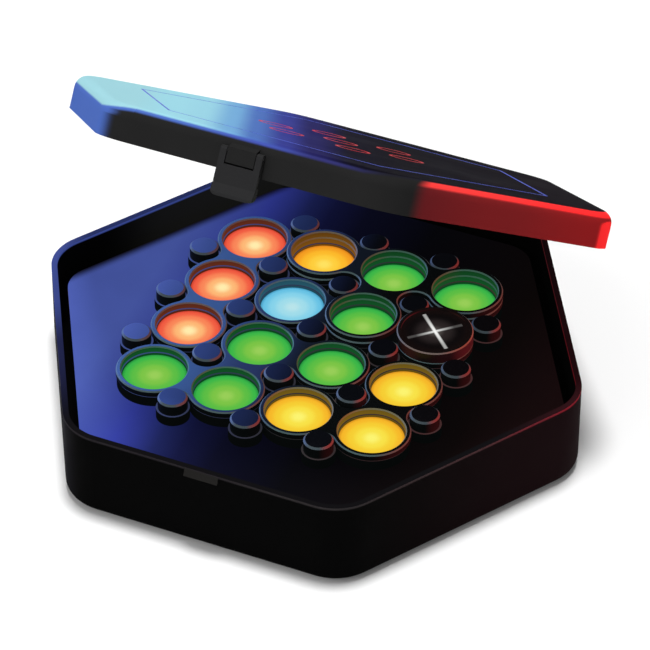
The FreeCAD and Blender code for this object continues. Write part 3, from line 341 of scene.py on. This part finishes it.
board_finish, tree, shader = start_finish("board_green")
place = place_of(tree)
tracks = put(tree, "ShaderNodeTexBrick",
             {"Vector": place, "Color1": ink(16, 74, 40), "Color2": ink(20, 84, 46),
              "Mortar": ink(42, 112, 62), "Mortar Size": 0.012, "Scale": 110.0,
              "Brick Width": 0.9, "Row Height": 0.22}, offset=0.37)
weave = speckle(tree, place, 0.0012, 2.0)
mask = layer(tree, fade(tree, weave, 0.4, 0.75), tracks.outputs["Color"], ink(12, 58, 32))
feed(shader, "Base Color", mask)
feed(shader, "Roughness", between(tree, weave, 0.2, 0.4))
dent(tree, shader, tracks.outputs["Fac"], 0.3, 0.00003)
dress(board_finish, "lamp_board")

lamp_finish, tree, shader = start_finish("lamp_white")
cloud = speckle(tree, place_of(tree), 0.0008)
feed(shader, "Base Color", two_tone(tree, cloud, (228, 228, 220), (246, 244, 232)))
feed(shader, "Roughness", between(tree, cloud, 0.25, 0.4))
dress(lamp_finish, "lamps")

chip_finish, tree, shader = start_finish("chip_black")
patches = moulded_skin(tree, shader, place_of(tree), 0.55, 0.0003, 0.00003)
feed(shader, "Base Color", two_tone(tree, patches, (22, 22, 23), (31, 31, 32)))
dress(chip_finish, "control_chip", "lamp_driver")
dress(screw_steel, "board_screws", "deck_screws")


# Key mat: one moulding in soft grey silicone rubber on the lamp board, a thin sheet with a light
# hole over every lamp and a waisted ring round each hole that pushes its key back up.

KEY_PITCH = 0.040
KEYS_ACROSS = 4
SHEET_THICK = 0.001
SHEET_CORNER = 0.004
CORNER_STEPS = 6
LIGHT_HOLE = 0.008
BOSS_HOLE = 0.005
PUNCH_LENGTH = 0.01
ROUND_STEPS = 40
SMOOTH_BELOW = math.radians(35)
ring_steps = [  # radius and rise of each step, up the outside of a ring and down its inside
    (0.0110, 0.0006), (0.0102, 0.0012), (0.0099, 0.0032), (0.0104, 0.0042), (0.0110, 0.0047),
    (0.0110, 0.0056), (0.0107, 0.0059), (0.0090, 0.0059), (0.0086, 0.0055), (0.0089, 0.0042),
    (0.0089, 0.0014), (0.0080, 0.0006), (0.0080, 0.0),
]
key_places = {}
for row in range(1, KEYS_ACROSS + 1):
    for column in range(1, KEYS_ACROSS + 1):
        key_places[row, column] = ((column - 2.5) * KEY_PITCH, (2.5 - row) * KEY_PITCH)

mat_finish, tree, shader = start_finish("mat_rubber")
place = place_of(tree)
bloom = speckle(tree, place, 0.006, 5.0)
feed(shader, "Base Color", two_tone(tree, bloom, (150, 152, 154), (172, 174, 174)))
feed(shader, "Roughness", between(tree, bloom, 0.6, 0.8))
dent(tree, shader, speckle(tree, place, 0.0006), 0.2, 0.00004)

low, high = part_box("key_mat")
mat_top = low[2] + SHEET_THICK
bpy.ops.mesh.primitive_cube_add(size=1.0, location=(0, 0, low[2] + SHEET_THICK / 2),
                                scale=(high[0] - low[0], high[1] - low[1], SHEET_THICK))
sheet = bpy.context.object
sheet.name = "key_mat_sheet"
bpy.ops.object.transform_apply(location=True, rotation=True, scale=True)
bpy.ops.object.mode_set(mode="EDIT")
bpy.ops.mesh.select_mode(type="EDGE")
bpy.ops.mesh.select_all(action="DESELECT")
bpy.ops.object.mode_set(mode="OBJECT")
for edge in sheet.data.edges:
    ends = [sheet.data.vertices[end].co.z for end in edge.vertices]
    edge.select = abs(ends[0] - ends[1]) > SHEET_THICK / 2
bpy.ops.object.mode_set(mode="EDIT")
bpy.ops.mesh.bevel(offset=SHEET_CORNER, segments=CORNER_STEPS)
bpy.ops.object.mode_set(mode="OBJECT")

bpy.ops.object.select_all(action="DESELECT")
punches = []
for x, y, radius in [(*spot, LIGHT_HOLE) for spot in key_places.values()] + [(0.0, 0.0, BOSS_HOLE)]:
    bpy.ops.mesh.primitive_cylinder_add(vertices=ROUND_STEPS, radius=radius, depth=PUNCH_LENGTH,
                                        location=(x, y, low[2]))
    punches.append(bpy.context.object)
for punch in punches:
    punch.select_set(True)
bpy.ops.object.join()
punch = bpy.context.object
cut = sheet.modifiers.new("light_holes", "BOOLEAN")
cut.operation = "DIFFERENCE"
cut.solver = "EXACT"
cut.object = punch
bpy.context.view_layer.objects.active = sheet
bpy.ops.object.modifier_apply(modifier="light_holes")
bpy.data.objects.remove(punch)

bpy.ops.object.select_all(action="DESELECT")
x, y = key_places[1, 1]
was_radius, was_rise = ring_steps[0][0], 0.0
bpy.ops.mesh.primitive_circle_add(vertices=ROUND_STEPS, radius=was_radius, fill_type="NOTHING",
                                  location=(x, y, mat_top))
first_ring = bpy.context.object
bpy.ops.object.transform_apply(location=True, rotation=True, scale=True)
bpy.ops.object.mode_set(mode="EDIT")
bpy.ops.mesh.select_all(action="SELECT")
for radius, rise in ring_steps:
    widen = radius / was_radius
    bpy.ops.mesh.extrude_region_move(TRANSFORM_OT_translate={"value": (0, 0, rise - was_rise)})
    bpy.ops.transform.resize(value=(widen, widen, 1), center_override=(x, y, mat_top + rise))
    was_radius, was_rise = radius, rise
bpy.ops.mesh.select_mode(type="EDGE")
bpy.ops.mesh.select_all(action="DESELECT")
bpy.ops.mesh.select_non_manifold()
bpy.ops.mesh.bridge_edge_loops()
bpy.ops.mesh.select_all(action="SELECT")
bpy.ops.mesh.normals_make_consistent(inside=False)
bpy.ops.object.mode_set(mode="OBJECT")
bpy.ops.object.shade_smooth_by_angle(angle=SMOOTH_BELOW)

mat_rings = {(1, 1): first_ring}
for spot, (to_x, to_y) in list(key_places.items())[1:]:
    bpy.ops.object.select_all(action="DESELECT")
    first_ring.select_set(True)
    bpy.context.view_layer.objects.active = first_ring
    bpy.ops.object.duplicate()
    bpy.ops.transform.translate(value=(to_x - x, to_y - y, 0))
    bpy.ops.object.transform_apply(location=True, rotation=True, scale=True)
    mat_rings[spot] = bpy.context.object
for (row, column), ring in mat_rings.items():
    ring.name = f"key_mat_ring_r{row}c{column}"
for piece in (sheet, *mat_rings.values()):
    piece.data.materials.append(mat_finish)
    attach(piece, "base")
    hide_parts("key_mat")
for (row, column), ring in mat_rings.items():
    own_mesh(ring)


# Lit keys: sixteen round push keys in milky acrylic, each lit from below in its own colour, hot in
# the middle over its lamp and deeper towards the edge. They stand on the mat's rings in a square
# grid, 40 mm apart.

KEY_EDGE = 0.42
glow_steps = (0.06, 0.36, 0.62, 0.86, 1.0)
key_colours = {  # from the middle of a key to its edge
    "red": [(255, 236, 172), (253, 184, 118), (249, 134, 88), (240, 92, 66), (206, 62, 46)],
    "orange": [(255, 226, 96), (254, 206, 62), (252, 186, 44), (244, 158, 34), (214, 122, 26)],
    "yellow": [(252, 244, 112), (248, 226, 72), (246, 206, 52), (246, 184, 42), (216, 142, 30)],
    "green": [(152, 206, 88), (124, 196, 70), (92, 189, 68), (60, 182, 72), (32, 140, 62)],
    "blue": [(184, 228, 234), (160, 220, 234), (134, 210, 234), (104, 194, 228), (64, 152, 192)],
    "white": [(236, 236, 230), (222, 222, 218), (200, 202, 200), (176, 178, 178), (130, 132, 132)],
}
key_layout = [  # from the hinge side to the clasp side
    ["red", "orange", "green", "green"],
    ["red", "blue", "green", "white"],
    ["red", "green", "green", "yellow"],
    ["green", "green", "yellow", "yellow"],
]


def in_pitches(tree, place):
    """A place on the deck, level with it, counted in key pitches."""
    return steer(tree, "MULTIPLY", place, (1 / KEY_PITCH, 1 / KEY_PITCH, 0))["Vector"]


def from_key_middle(tree, place):
    """The way from the middle of the nearest key to this point, in pitches."""
    folded = steer(tree, "FRACTION", in_pitches(tree, place))["Vector"]
    return steer(tree, "SUBTRACT", folded, (0.5, 0.5, 0))["Vector"]


def key_distance(tree, place):
    """How far a point lies from the middle of the nearest key, in pitches."""
    return steer(tree, "LENGTH", from_key_middle(tree, place))["Value"]


key_finishes = {}
for name, tones in key_colours.items():
    finish, tree, shader = start_finish("key_" + name)
    place = place_of(tree)
    cloud = speckle(tree, place, 0.0011)
    distance = combine(tree, "ADD", key_distance(tree, place), between(tree, cloud, -0.012, 0.012))
    glow = shade(tree, scaled(tree, distance, 0.0, KEY_EDGE), list(zip(glow_steps, tones)))
    feed(shader, "Emission Color", glow)
    shader.inputs["Emission Strength"].default_value = 1.0
    unlit_dark = ink(*(part // 12 for part in tones[3]))
    unlit_light = ink(*(part // 9 for part in tones[3]))
    feed(shader, "Base Color", layer(tree, cloud, unlit_dark, unlit_light))
    feed(shader, "Roughness", between(tree, cloud, 0.3, 0.45))
    shader.inputs["Specular IOR Level"].default_value = 0.1
    key_finishes[name] = finish
for row, names in enumerate(key_layout, 1):
    for column, name in enumerate(names, 1):
        dress(key_finishes[name], f"light_key_r{row}c{column}")


# Play deck: the panel that closes the tub, moulded in black with a raised round seat over each
# key and held by six screws from below. Light is painted into its colour: a painted blue sheen
# towards the left, a painted shadow along the back-left wall, painted highlights on the seat
# collars, painted shade on upright walls and the painted glow of each key on the seats' walls;
# the whole panel also glows faintly.

DECK_SPAN = (-0.13, 0.13)
DECK_TILT = (1, 0.06, 0)
COLLAR_SPAN = (-0.11, 0.11)
COLLAR_BAND = (0.0376, 0.0386)
LEFT_BACK_WALL = (-0.866, 0.5, 0)
WALL_FOOT = (0.1155, 0.1225)
WELL_EDGE = (0.46, 0.44)
glow_tones = {"red": (150, 70, 44), "orange": (190, 122, 34), "yellow": (176, 140, 40),
              "green": (30, 124, 60), "blue": (62, 132, 158), "white": (70, 62, 60)}


def key_tone(tree, place):
    """The colour that the nearest key throws on the walls round it."""
    keys = KEYS_ACROSS * KEYS_ACROSS
    half = KEYS_ACROSS / 2
    cell = steer(tree, "FLOOR", in_pitches(tree, place))["Vector"]
    number = along(tree, cell, (1 / keys, KEYS_ACROSS / keys, 0), (half + half * KEYS_ACROSS + 0.5) / keys)
    in_order = [name for names in reversed(key_layout) for name in names]
    stops = [(place_in_row / keys, glow_tones[name]) for place_in_row, name in enumerate(in_order)]
    return shade(tree, number, stops, "CONSTANT")


def faces_key(tree, place, facing):
    """How squarely a wall faces the nearest key."""
    outwards = steer(tree, "NORMALIZE", from_key_middle(tree, place))["Vector"]
    return fade(tree, along(tree, outwards, facing), -0.35, -0.9)


deck_finish, tree, shader = start_finish("deck_plastic")
place, facing = place_of(tree), facing_of(tree)
patches = moulded_skin(tree, shader, place, 0.7)
# Painted sheen: the black deck is painted blue towards the left, fading to black and a faint red on the right
colour = shade(tree, scaled(tree, along(tree, place, DECK_TILT), *DECK_SPAN),
               [(0.12, (80, 98, 182)), (0.25, (53, 63, 158)), (0.33, (30, 37, 90)), (0.38, (20, 23, 61)),
                (0.45, (14, 15, 36)), (0.6, (9, 9, 14)), (0.86, (15, 10, 10)), (1.0, (28, 15, 16))], "LINEAR")
# Painted shadow: a dark band on the deck at the foot of the left-back wall
painted_wall_shadow = fade(tree, along(tree, place, LEFT_BACK_WALL), *WALL_FOOT)
colour = layer(tree, painted_wall_shadow, colour, ink(20, 17, 22))
dull_patches = times(tree, fade(tree, patches, 0.35, 0.7), 0.06)
colour = layer(tree, dull_patches, colour, ink(12, 11, 16))
# Painted highlight: a thin line on the tops of the seat collars, blue on the left and red on the right
collar_highlight_colour = shade(tree, scaled(tree, along(tree, place, RIGHT), *COLLAR_SPAN),
                      [(0.1, (74, 92, 160)), (0.4, (58, 64, 92)), (0.6, (58, 56, 58)), (1.0, (88, 54, 54))])
collar_top = fade(tree, along(tree, place, UP), *COLLAR_BAND)
colour = layer(tree, collar_top, colour, collar_highlight_colour)
# Painted shade: upright walls are painted near-black
shaded_upright = fade(tree, along(tree, facing, UP), 0.5, 0.2)
colour = layer(tree, shaded_upright, colour, ink(9, 12, 12))
# Painted glow: seat walls that face a key give off that key's colour, and the rest of the deck glows faintly
# in its painted colour over a base colour half as bright
key_lit_well_wall = times(tree, faces_key(tree, place, facing), fade(tree, key_distance(tree, place), *WELL_EDGE))
key_glow = layer(tree, 1.0, key_tone(tree, place), ink(180, 180, 180), "MULTIPLY")
feed(shader, "Base Color", layer(tree, 0.5, colour, ink(0, 0, 0)))
feed(shader, "Emission Color", layer(tree, key_lit_well_wall, colour, key_glow))
shader.inputs["Emission Strength"].default_value = 0.6
shader.inputs["Specular IOR Level"].default_value = 0.012
dress(deck_finish, "play_deck")


# Guide posts: twenty-one stepped round posts, moulded in black and pressed into the deck between
# the keys. Light is painted into their colour: a painted blue sheen on their tops towards the left,
# painted shade on their walls, a painted highlight round their top edges, blue on the left and red
# on the right, and a faint painted glow.

POST_TILT = (1, 0.1, 0)
BLUE_LEAN = (-1, 0.2, 0)


def edge_sheen(tree, place, facing, colour, plain, blue, red, far_blue=0.3):
    """Rounded edges catch light: blue where they lean left, red where they lean right."""
    lean = along(tree, facing, UP)
    to_the_right = along(tree, place, RIGHT)
    rounded = times(tree, fade(tree, lean, 0.1, 0.35), fade(tree, lean, 0.985, 0.9))
    leftward = times(tree, rounded, fade(tree, along(tree, facing, BLUE_LEAN), 0.0, 0.6))
    less_blue = between(tree, scaled(tree, to_the_right, -0.02, 0.06), 1.0, far_blue)
    leftward = times(tree, leftward, less_blue)
    rightward = times(tree, rounded, fade(tree, along(tree, facing, RIGHT), 0.3, 0.8))
    more_red = between(tree, scaled(tree, to_the_right, -0.07, 0.03), 0.3, 1.0)
    rightward = times(tree, rightward, more_red)
    colour = layer(tree, rounded, colour, ink(*plain))
    colour = layer(tree, leftward, colour, ink(*blue))
    return layer(tree, rightward, colour, ink(*red))


def painted_shade_sides(tree, place, facing, colour):
    """Painted shade: upright walls are painted near-black below the painted sheen on the tops, with a painted
    red sheen on the far right.
    """
    red_sheen_mask = times(tree, fade(tree, along(tree, facing, RIGHT), 0.35, 1.0),
                    fade(tree, along(tree, place, RIGHT), 0.0, 0.08))
    side = layer(tree, red_sheen_mask, ink(10, 13, 13), ink(62, 20, 21))
    return layer(tree, fade(tree, along(tree, facing, UP), 0.5, 0.15), colour, side)


post_finish, tree, shader = start_finish("post_plastic")
place, facing = place_of(tree), facing_of(tree)
moulded_skin(tree, shader, place, 0.42)
# Painted sheen: the black post tops are painted blue towards the left
colour = shade(tree, scaled(tree, along(tree, place, POST_TILT), *DECK_SPAN),
               [(0.1, (98, 122, 222)), (0.26, (64, 88, 164)), (0.42, (38, 52, 100)),
                (0.55, (14, 16, 22)), (1.0, (16, 11, 12))])
colour = painted_shade_sides(tree, place, facing, colour)
colour = edge_sheen(tree, place, facing, colour, (74, 86, 92), (104, 130, 190), (176, 60, 54))
feed(shader, "Base Color", colour)
# Painted glow: the posts give off their painted colour as faint light
feed(shader, "Emission Color", colour)
shader.inputs["Emission Strength"].default_value = 0.4
shader.inputs["Specular IOR Level"].default_value = 0.05
dress(post_finish, "guide_posts")


# Ring tiles: loose tiles of three or four joined rings, moulded in black and laid over the keys in
# two layers. Light is painted into their colour: a painted blue sheen on their tops towards the left,
# painted shade on their walls, painted highlights on their rounded edges, the painted glow of the key
# below on their inner walls, and a faint painted glow over the rest.

TILE_BAND = (0.038, 0.0465)

tile_finish, tree, shader = start_finish("tile_plastic")
place, facing = place_of(tree), facing_of(tree)
moulded_skin(tree, shader, place, 0.4)
# Painted sheen: the black tile tops are painted blue towards the left
colour = shade(tree, scaled(tree, along(tree, place, POST_TILT), *DECK_SPAN),
               [(0.16, (82, 118, 194)), (0.3, (72, 108, 178)), (0.42, (52, 68, 120)),
                (0.52, (26, 34, 48)), (0.62, (14, 17, 18)), (1.0, (18, 12, 12))])
colour = painted_shade_sides(tree, place, facing, colour)
colour = edge_sheen(tree, place, facing, colour, (84, 104, 106), (106, 138, 190), (150, 72, 60))
# Painted glow: inner walls facing a key give off its colour, strongest low down, and the rest of the tile
# glows faintly in its painted colour
low_down = between(tree, scaled(tree, along(tree, place, UP), *TILE_BAND), 1.0, 0.45)
lit_wall = times(tree, faces_key(tree, place, facing), low_down)
feed(shader, "Base Color", colour)
feed(shader, "Emission Color", layer(tree, lit_wall, colour, key_tone(tree, place)))
shader.inputs["Emission Strength"].default_value = 0.4
shader.inputs["Specular IOR Level"].default_value = 0.05
dress(tile_finish, "tile_line_left", "tile_line_middle", "tile_line_back",
      "tile_step", "tile_corner", "tile_tee")


# Cross cap and its lens: a dished black cap, moulded in one, that drops over one key. A cross of
# clear acrylic is let into it from below and lights up white, brighter along one stroke. The cap's
# colour carries painted light: a painted red and brown sheen on its walls, painted highlights on its
# edges, a painted pale halo round the cross and a faint painted glow.

RISING = (0.7071, 0.7071, 0)
FALLING = (0.7071, -0.7071, 0)

cap_finish, tree, shader = start_finish("cap_plastic")
place, facing = place_of(tree), facing_of(tree)
patches = moulded_skin(tree, shader, place, 0.36)
colour = two_tone(tree, patches, (28, 22, 23), (36, 28, 29))
# Painted sheen: the cap's walls are painted dark red and brown by the way they face
painted_cap_wall_sheen = shade(tree, scaled(tree, along(tree, facing, RIGHT), -1.0, 1.0),
                    [(0.1, (12, 11, 13)), (0.32, (46, 23, 20)), (0.55, (18, 13, 13)),
                     (0.85, (40, 15, 17)), (1.0, (100, 28, 32))])
colour = layer(tree, fade(tree, along(tree, facing, UP), 0.5, 0.15), colour, painted_cap_wall_sheen)
colour = edge_sheen(tree, place, facing, colour, (130, 114, 110), (112, 122, 146), (196, 80, 60), 1.0)
# Painted glow: a pale halo round the cross on the cap's top; elsewhere the cap glows faintly in its painted
# colour
halo = shade(tree, scaled(tree, key_distance(tree, place), 0.0, KEY_EDGE),
             [(0.0, (124, 116, 112)), (0.35, (58, 50, 50)), (0.75, (16, 13, 14)), (1.0, (26, 17, 16))])
cap_top = fade(tree, along(tree, facing, UP), 0.6, 0.95)
feed(shader, "Base Color", colour)
feed(shader, "Emission Color", layer(tree, cap_top, colour, halo))
shader.inputs["Emission Strength"].default_value = 0.5
shader.inputs["Specular IOR Level"].default_value = 0.08
dress(cap_finish, "cross_cap")

cross_finish, tree, shader = start_finish("cross_white")
place = place_of(tree)
way = from_key_middle(tree, place)
cloud = speckle(tree, place, 0.0012)
rising = combine(tree, "ABSOLUTE", along(tree, way, RISING))
falling = combine(tree, "ABSOLUTE", along(tree, way, FALLING))
bright_end = between(tree, scaled(tree, falling, 0.0, 0.3), 1.0, 0.45)
bright_stroke = times(tree, fade(tree, rising, 0.036, 0.008), bright_end)
faint_end = between(tree, scaled(tree, rising, 0.0, 0.26), 0.9, 0.06)
faint_stroke = times(tree, fade(tree, falling, 0.034, 0.006), faint_end)
strokes = combine(tree, "MAXIMUM", bright_stroke, faint_stroke)
strokes = times(tree, strokes, between(tree, cloud, 0.88, 1.1))
glow = shade(tree, strokes, [(0.0, (40, 36, 36)), (0.5, (176, 176, 174)), (1.0, (255, 255, 252))], "LINEAR")
feed(shader, "Base Color", layer(tree, cloud, ink(24, 22, 22), ink(36, 33, 33)))
feed(shader, "Emission Color", glow)
feed(shader, "Roughness", between(tree, cloud, 0.15, 0.3))
shader.inputs["Emission Strength"].default_value = 1.0
shader.inputs["Specular IOR Level"].default_value = 0.1
dress(cross_finish, "cross_lens")


# Lid: the shallow hexagonal upper half, moulded in matt black and propped open on two steel hinge
# pins at the back. Light is painted into its colour: a painted pale blue sheen on its top towards the
# left, painted blue highlights on its left edges and painted red ones on its right edges, the
# brightest red also glowing.

lid_joint = next(joint for joint in frame["joints"] if joint["name"] == "lid_hinge")
HINGE = tuple(lid_joint["pos_m"])
LID_OPEN = math.radians(-lid_joint["range_deg"][0])
FADE_WAY = (0.937, 0.290, -0.196)
FADE_START = 0.017
FADE_SPAN = (-0.12, 0.12)
BLUE_SIDE = (-0.5, 0.45, 0.74)
LUG_SIDE = (0.0134, 0.0124)
LUG_DROP = 0.0035
TOP_BAND = (0.0585, 0.0605)
RED_START = (0.0815, 0.0868)
RED_SPAN = (0.076, 0.146)
STRIP_BAND = (0.0630, 0.0644)

lid_finish, tree, shader = start_finish("lid_plastic")
place, facing = place_of(tree), facing_of(tree)
to_the_right = along(tree, place, RIGHT)
patches = moulded_skin(tree, shader, place, 0.85)
colour = two_tone(tree, patches, (37, 37, 37), (39, 39, 39))
across = scaled(tree, along(tree, place, FADE_WAY, FADE_START), *FADE_SPAN)
# Painted sheen: pale blue on the left of the top, fading through blue to black, with blue on the left edges
painted_top_sheen = shade(tree, across, [(0.06, (160, 212, 222)), (0.14, (158, 216, 230)), (0.21, (154, 211, 228)),
                                  (0.27, (118, 172, 216)), (0.32, (80, 114, 186)), (0.38, (56, 62, 142)),
                                  (0.44, (36, 34, 88)), (0.52, (17, 16, 28)), (0.62, (14, 13, 19)),
                                  (1.0, (17, 13, 18))])
blue_edge_sheen_colour = shade(tree, across, [(0.15, (80, 112, 196)), (0.34, (70, 86, 176)), (0.46, (52, 52, 112)),
                                   (0.6, (34, 34, 42)), (0.8, (36, 36, 38))])

# Height on the shut lid, with the lug at the front counted lower so that it stays black
hinge_height = math.sin(LID_OPEN) * HINGE[1] + math.cos(LID_OPEN) * HINGE[2]
lid_up = (0, math.sin(LID_OPEN), math.cos(LID_OPEN))
height = along(tree, place, lid_up, HINGE[2] - hinge_height)
sideways = combine(tree, "ABSOLUTE", to_the_right)
height = combine(tree, "SUBTRACT", height, times(tree, fade(tree, sideways, *LUG_SIDE), LUG_DROP))

to_blue = along(tree, facing, BLUE_SIDE)
outside = fade(tree, height, *TOP_BAND)
left_side = times(tree, fade(tree, along(tree, facing, LEFT), 0.2, 0.62), fade(tree, to_blue, 0.2, 0.42))
top_edge = times(tree, outside, fade(tree, to_blue, 0.48, 0.66))
colour = layer(tree, combine(tree, "MAXIMUM", left_side, top_edge), colour, blue_edge_sheen_colour)
colour = layer(tree, times(tree, outside, fade(tree, to_blue, 0.68, 0.8)), colour, painted_top_sheen)

# Painted highlight: red on the right-facing faces and a brighter red strip along the top edge, which also
# glows
faces_right = along(tree, facing, RIGHT)
rightness = scaled(tree, to_the_right, *RED_SPAN)
red_side_sheen = shade(tree, rightness, [(0.0, (108, 34, 38)), (0.5, (134, 36, 38)), (1.0, (158, 34, 36))])
red_strip_highlight = shade(tree, rightness, [(0.0, (226, 60, 58)), (1.0, (252, 44, 46))])
bright = combine(tree, "MAXIMUM", fade(tree, height, *STRIP_BAND), fade(tree, faces_right, 0.91, 0.97))
red = layer(tree, bright, red_side_sheen, red_strip_highlight)
red_part = times(tree, fade(tree, to_the_right, *RED_START), fade(tree, faces_right, 0.28, 0.42))
feed(shader, "Base Color", layer(tree, red_part, colour, red))
feed(shader, "Emission Color", layer(tree, times(tree, red_part, bright), ink(0, 0, 0), red))
shader.inputs["Emission Strength"].default_value = 0.35
shader.inputs["Specular IOR Level"].default_value = 0.006
dress(lid_finish, "lid_shell")

pin_steel = plated_steel("pin_steel", (150, 150, 150), 0.3, (300.0, 3000.0, 3000.0))
dress(pin_steel, "hinge_pin_left", "hinge_pin_right", "clasp_pin")


# Lid print: thin foil pressed on the lid, six small red rings round a seventh inside a fine blue
# hexagon. Every line is a film a tenth of a millimetre thick that swings with the lid.

LID_TOP = 0.0666
FOIL = 0.0001
FOIL_SUNK = FOIL / 4
RING_CORNERS = 48
RING_RADIUS = 0.009
RING_LINE = 0.0014
RING_STEP = 0.036
RING_TURNS = (0, 120, 180, 240, 300, 360)
HEXAGON_RADIUS = 0.112
HEXAGON_LINE = 0.0011
HEXAGON_TURN = math.radians(30)


def foil_outline(name, corners, radius, width, turn):
    """A flat closed line on the shut lid, drawn as an inset border and given its thickness."""
    bpy.ops.object.select_all(action="DESELECT")
    bpy.ops.mesh.primitive_circle_add(vertices=corners, radius=radius, fill_type="NGON",
                                      location=(0, 0, LID_TOP - FOIL_SUNK), rotation=(0, 0, turn))
    line = bpy.context.object
    line.name = name
    bpy.ops.object.transform_apply(location=True, rotation=True, scale=True)
    bpy.ops.object.mode_set(mode="EDIT")
    bpy.ops.mesh.select_mode(type="FACE")
    bpy.ops.mesh.select_all(action="SELECT")
    bpy.ops.mesh.inset(thickness=width)
    bpy.ops.mesh.delete(type="FACE")
    bpy.ops.mesh.select_all(action="SELECT")
    bpy.ops.mesh.extrude_region_move(TRANSFORM_OT_translate={"value": (0, 0, FOIL)})
    bpy.ops.mesh.select_all(action="SELECT")
    bpy.ops.mesh.normals_make_consistent(inside=False)
    bpy.ops.object.mode_set(mode="OBJECT")
    return line


def swing_open(piece):
    """Turns a piece made on the shut lid to where the open lid carries it."""
    bpy.ops.object.select_all(action="DESELECT")
    piece.select_set(True)
    bpy.context.view_layer.objects.active = piece
    bpy.ops.object.mode_set(mode="EDIT")
    bpy.ops.mesh.select_all(action="SELECT")
    bpy.ops.transform.rotate(value=LID_OPEN, orient_axis="X", center_override=HINGE)
    bpy.ops.object.mode_set(mode="OBJECT")


def foil_finish(name, tone, worn):
    """Printed foil: slightly glossy, with pinholes where it has worn."""
    finish, tree, shader = start_finish(name)
    wear = speckle(tree, place_of(tree), 0.0016, 5.0)
    feed(shader, "Base Color", shade(tree, wear, [(0.45, tone), (0.72, worn)]))
    feed(shader, "Roughness", between(tree, wear, 0.35, 0.65))
    shader.inputs["Specular IOR Level"].default_value = 0.02
    return finish


# Each ring is copied from the last: one step out from the middle, then round the six places
print_rings = [foil_outline("lid_print_rings", RING_CORNERS, RING_RADIUS, RING_LINE, 0.0)]
for turn in RING_TURNS:
    bpy.ops.object.duplicate()
    turn = math.radians(turn)
    bpy.ops.transform.translate(value=(RING_STEP * math.cos(turn), RING_STEP * math.sin(turn), 0))
    print_rings.append(bpy.context.object)
bpy.ops.object.select_all(action="DESELECT")
for ring in print_rings:
    ring.select_set(True)
bpy.context.view_layer.objects.active = print_rings[0]
bpy.ops.object.join()
bpy.ops.object.transform_apply(location=True, rotation=True, scale=True)
all_rings = bpy.context.object
hexagon = foil_outline("lid_print_hexagon", 6, HEXAGON_RADIUS, HEXAGON_LINE, HEXAGON_TURN)
red_foil = foil_finish("foil_red", (206, 30, 44), (120, 22, 34))
blue_foil = foil_finish("foil_blue", (84, 104, 220), (52, 62, 140))
for piece, finish in ((all_rings, red_foil), (hexagon, blue_foil)):
    swing_open(piece)
    piece.data.materials.append(finish)
    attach(piece, "lid")


# Clasp: a narrow clasp moulded in black that hangs from a steel pin in the lid's front edge.
# Its hook snaps under the keeper on the tub.

clasp_finish, tree, shader = start_finish("clasp_plastic")
place, facing = place_of(tree), facing_of(tree)
patches = moulded_skin(tree, shader, place, 0.5)
colour = two_tone(tree, patches, (33, 33, 33), (40, 40, 40))
# Painted highlights on the clasp's rounded edges, red on the right
colour = edge_sheen(tree, place, facing, colour, (42, 42, 43), (46, 46, 52), (92, 34, 34), 1.0)
feed(shader, "Base Color", colour)
shader.inputs["Specular IOR Level"].default_value = 0.03
dress(clasp_finish, "clasp")


# Floor, light and camera: a plain pale floor and plain soft white light, one lamp from above and a
# weaker one from the front. The camera looks through a long lens from the front right.

FLOOR_SIZE = 8.0
FLOOR_LIFT = 0.05
SHADE_LIGHT = 0.14
LENS = 218.6
SENSOR = 36.0
FAR_END = 20.0
CAMERA_PLACE = (0.6527, -1.4457, 1.2912)
AZIMUTH = math.radians(24.05)
ELEVATION = math.radians(38.12)
ROLL = math.radians(0.30)


def seen_rays(tree):
    """1 on rays from the camera, off gloss and through glass, and 0 on rays that carry light."""
    path = put(tree, "ShaderNodeLightPath", {}).outputs
    seen = put(tree, "ShaderNodeMath", {0: path["Is Camera Ray"], 1: path["Is Glossy Ray"]}, use_clamp=True)
    seen = put(tree, "ShaderNodeMath", {0: seen.outputs[0], 1: path["Is Transmission Ray"]}, use_clamp=True)
    return seen.outputs[0]


def soft_sun(name, place, strength, spread, turn):
    """A wide sun lamp; spread and turn are in degrees."""
    bpy.ops.object.light_add(type="SUN", location=place)
    lamp = bpy.context.object
    lamp.name = name
    lamp.data.energy = strength
    lamp.data.angle = math.radians(spread)
    lamp.rotation_euler = [math.radians(angle) for angle in turn]


bpy.ops.mesh.primitive_plane_add(size=FLOOR_SIZE, location=(0, 0, 0))
floor = bpy.context.object
floor.name = "floor"
floor_finish, tree, shader = start_finish("floor_white")
cloud = speckle(tree, place_of(tree), 0.4)
feed(shader, "Base Color", two_tone(tree, cloud, (246, 246, 246), (248, 248, 248)))
feed(shader, "Emission Strength", times(tree, seen_rays(tree), FLOOR_LIFT))
shader.inputs["Emission Color"].default_value = (1, 1, 1, 1)
shader.inputs["Roughness"].default_value = 0.9
shader.inputs["Specular IOR Level"].default_value = 0.0
floor.data.materials.append(floor_finish)

world = bpy.data.worlds.new("studio")
world.use_nodes = True
bpy.context.scene.world = world
tree = world.node_tree
background = tree.nodes["Background"]
background.inputs["Color"].default_value = (1, 1, 1, 1)
feed(background, "Strength", between(tree, seen_rays(tree), SHADE_LIGHT, 1.0))

soft_sun("soft_overhead_light", (0, 0, 2), 2.75, 12, (-4.5, -1, 0))
soft_sun("soft_front_light", (-1, -1, 1), 0.7, 60, (52, 0, -35))

bpy.ops.object.camera_add(location=CAMERA_PLACE, rotation=(math.pi / 2 - ELEVATION, 0, AZIMUTH))
camera = bpy.context.object
camera.name = "photo_view"
camera.rotation_mode = "QUATERNION"
camera.rotation_quaternion = camera.rotation_euler.to_quaternion() @ Quaternion((0, 0, 1), ROLL)
camera.data.sensor_width = SENSOR
camera.data.lens = LENS
camera.data.clip_end = FAR_END
bpy.context.scene.camera = camera
bpy.context.scene.view_settings.view_transform = "Standard"
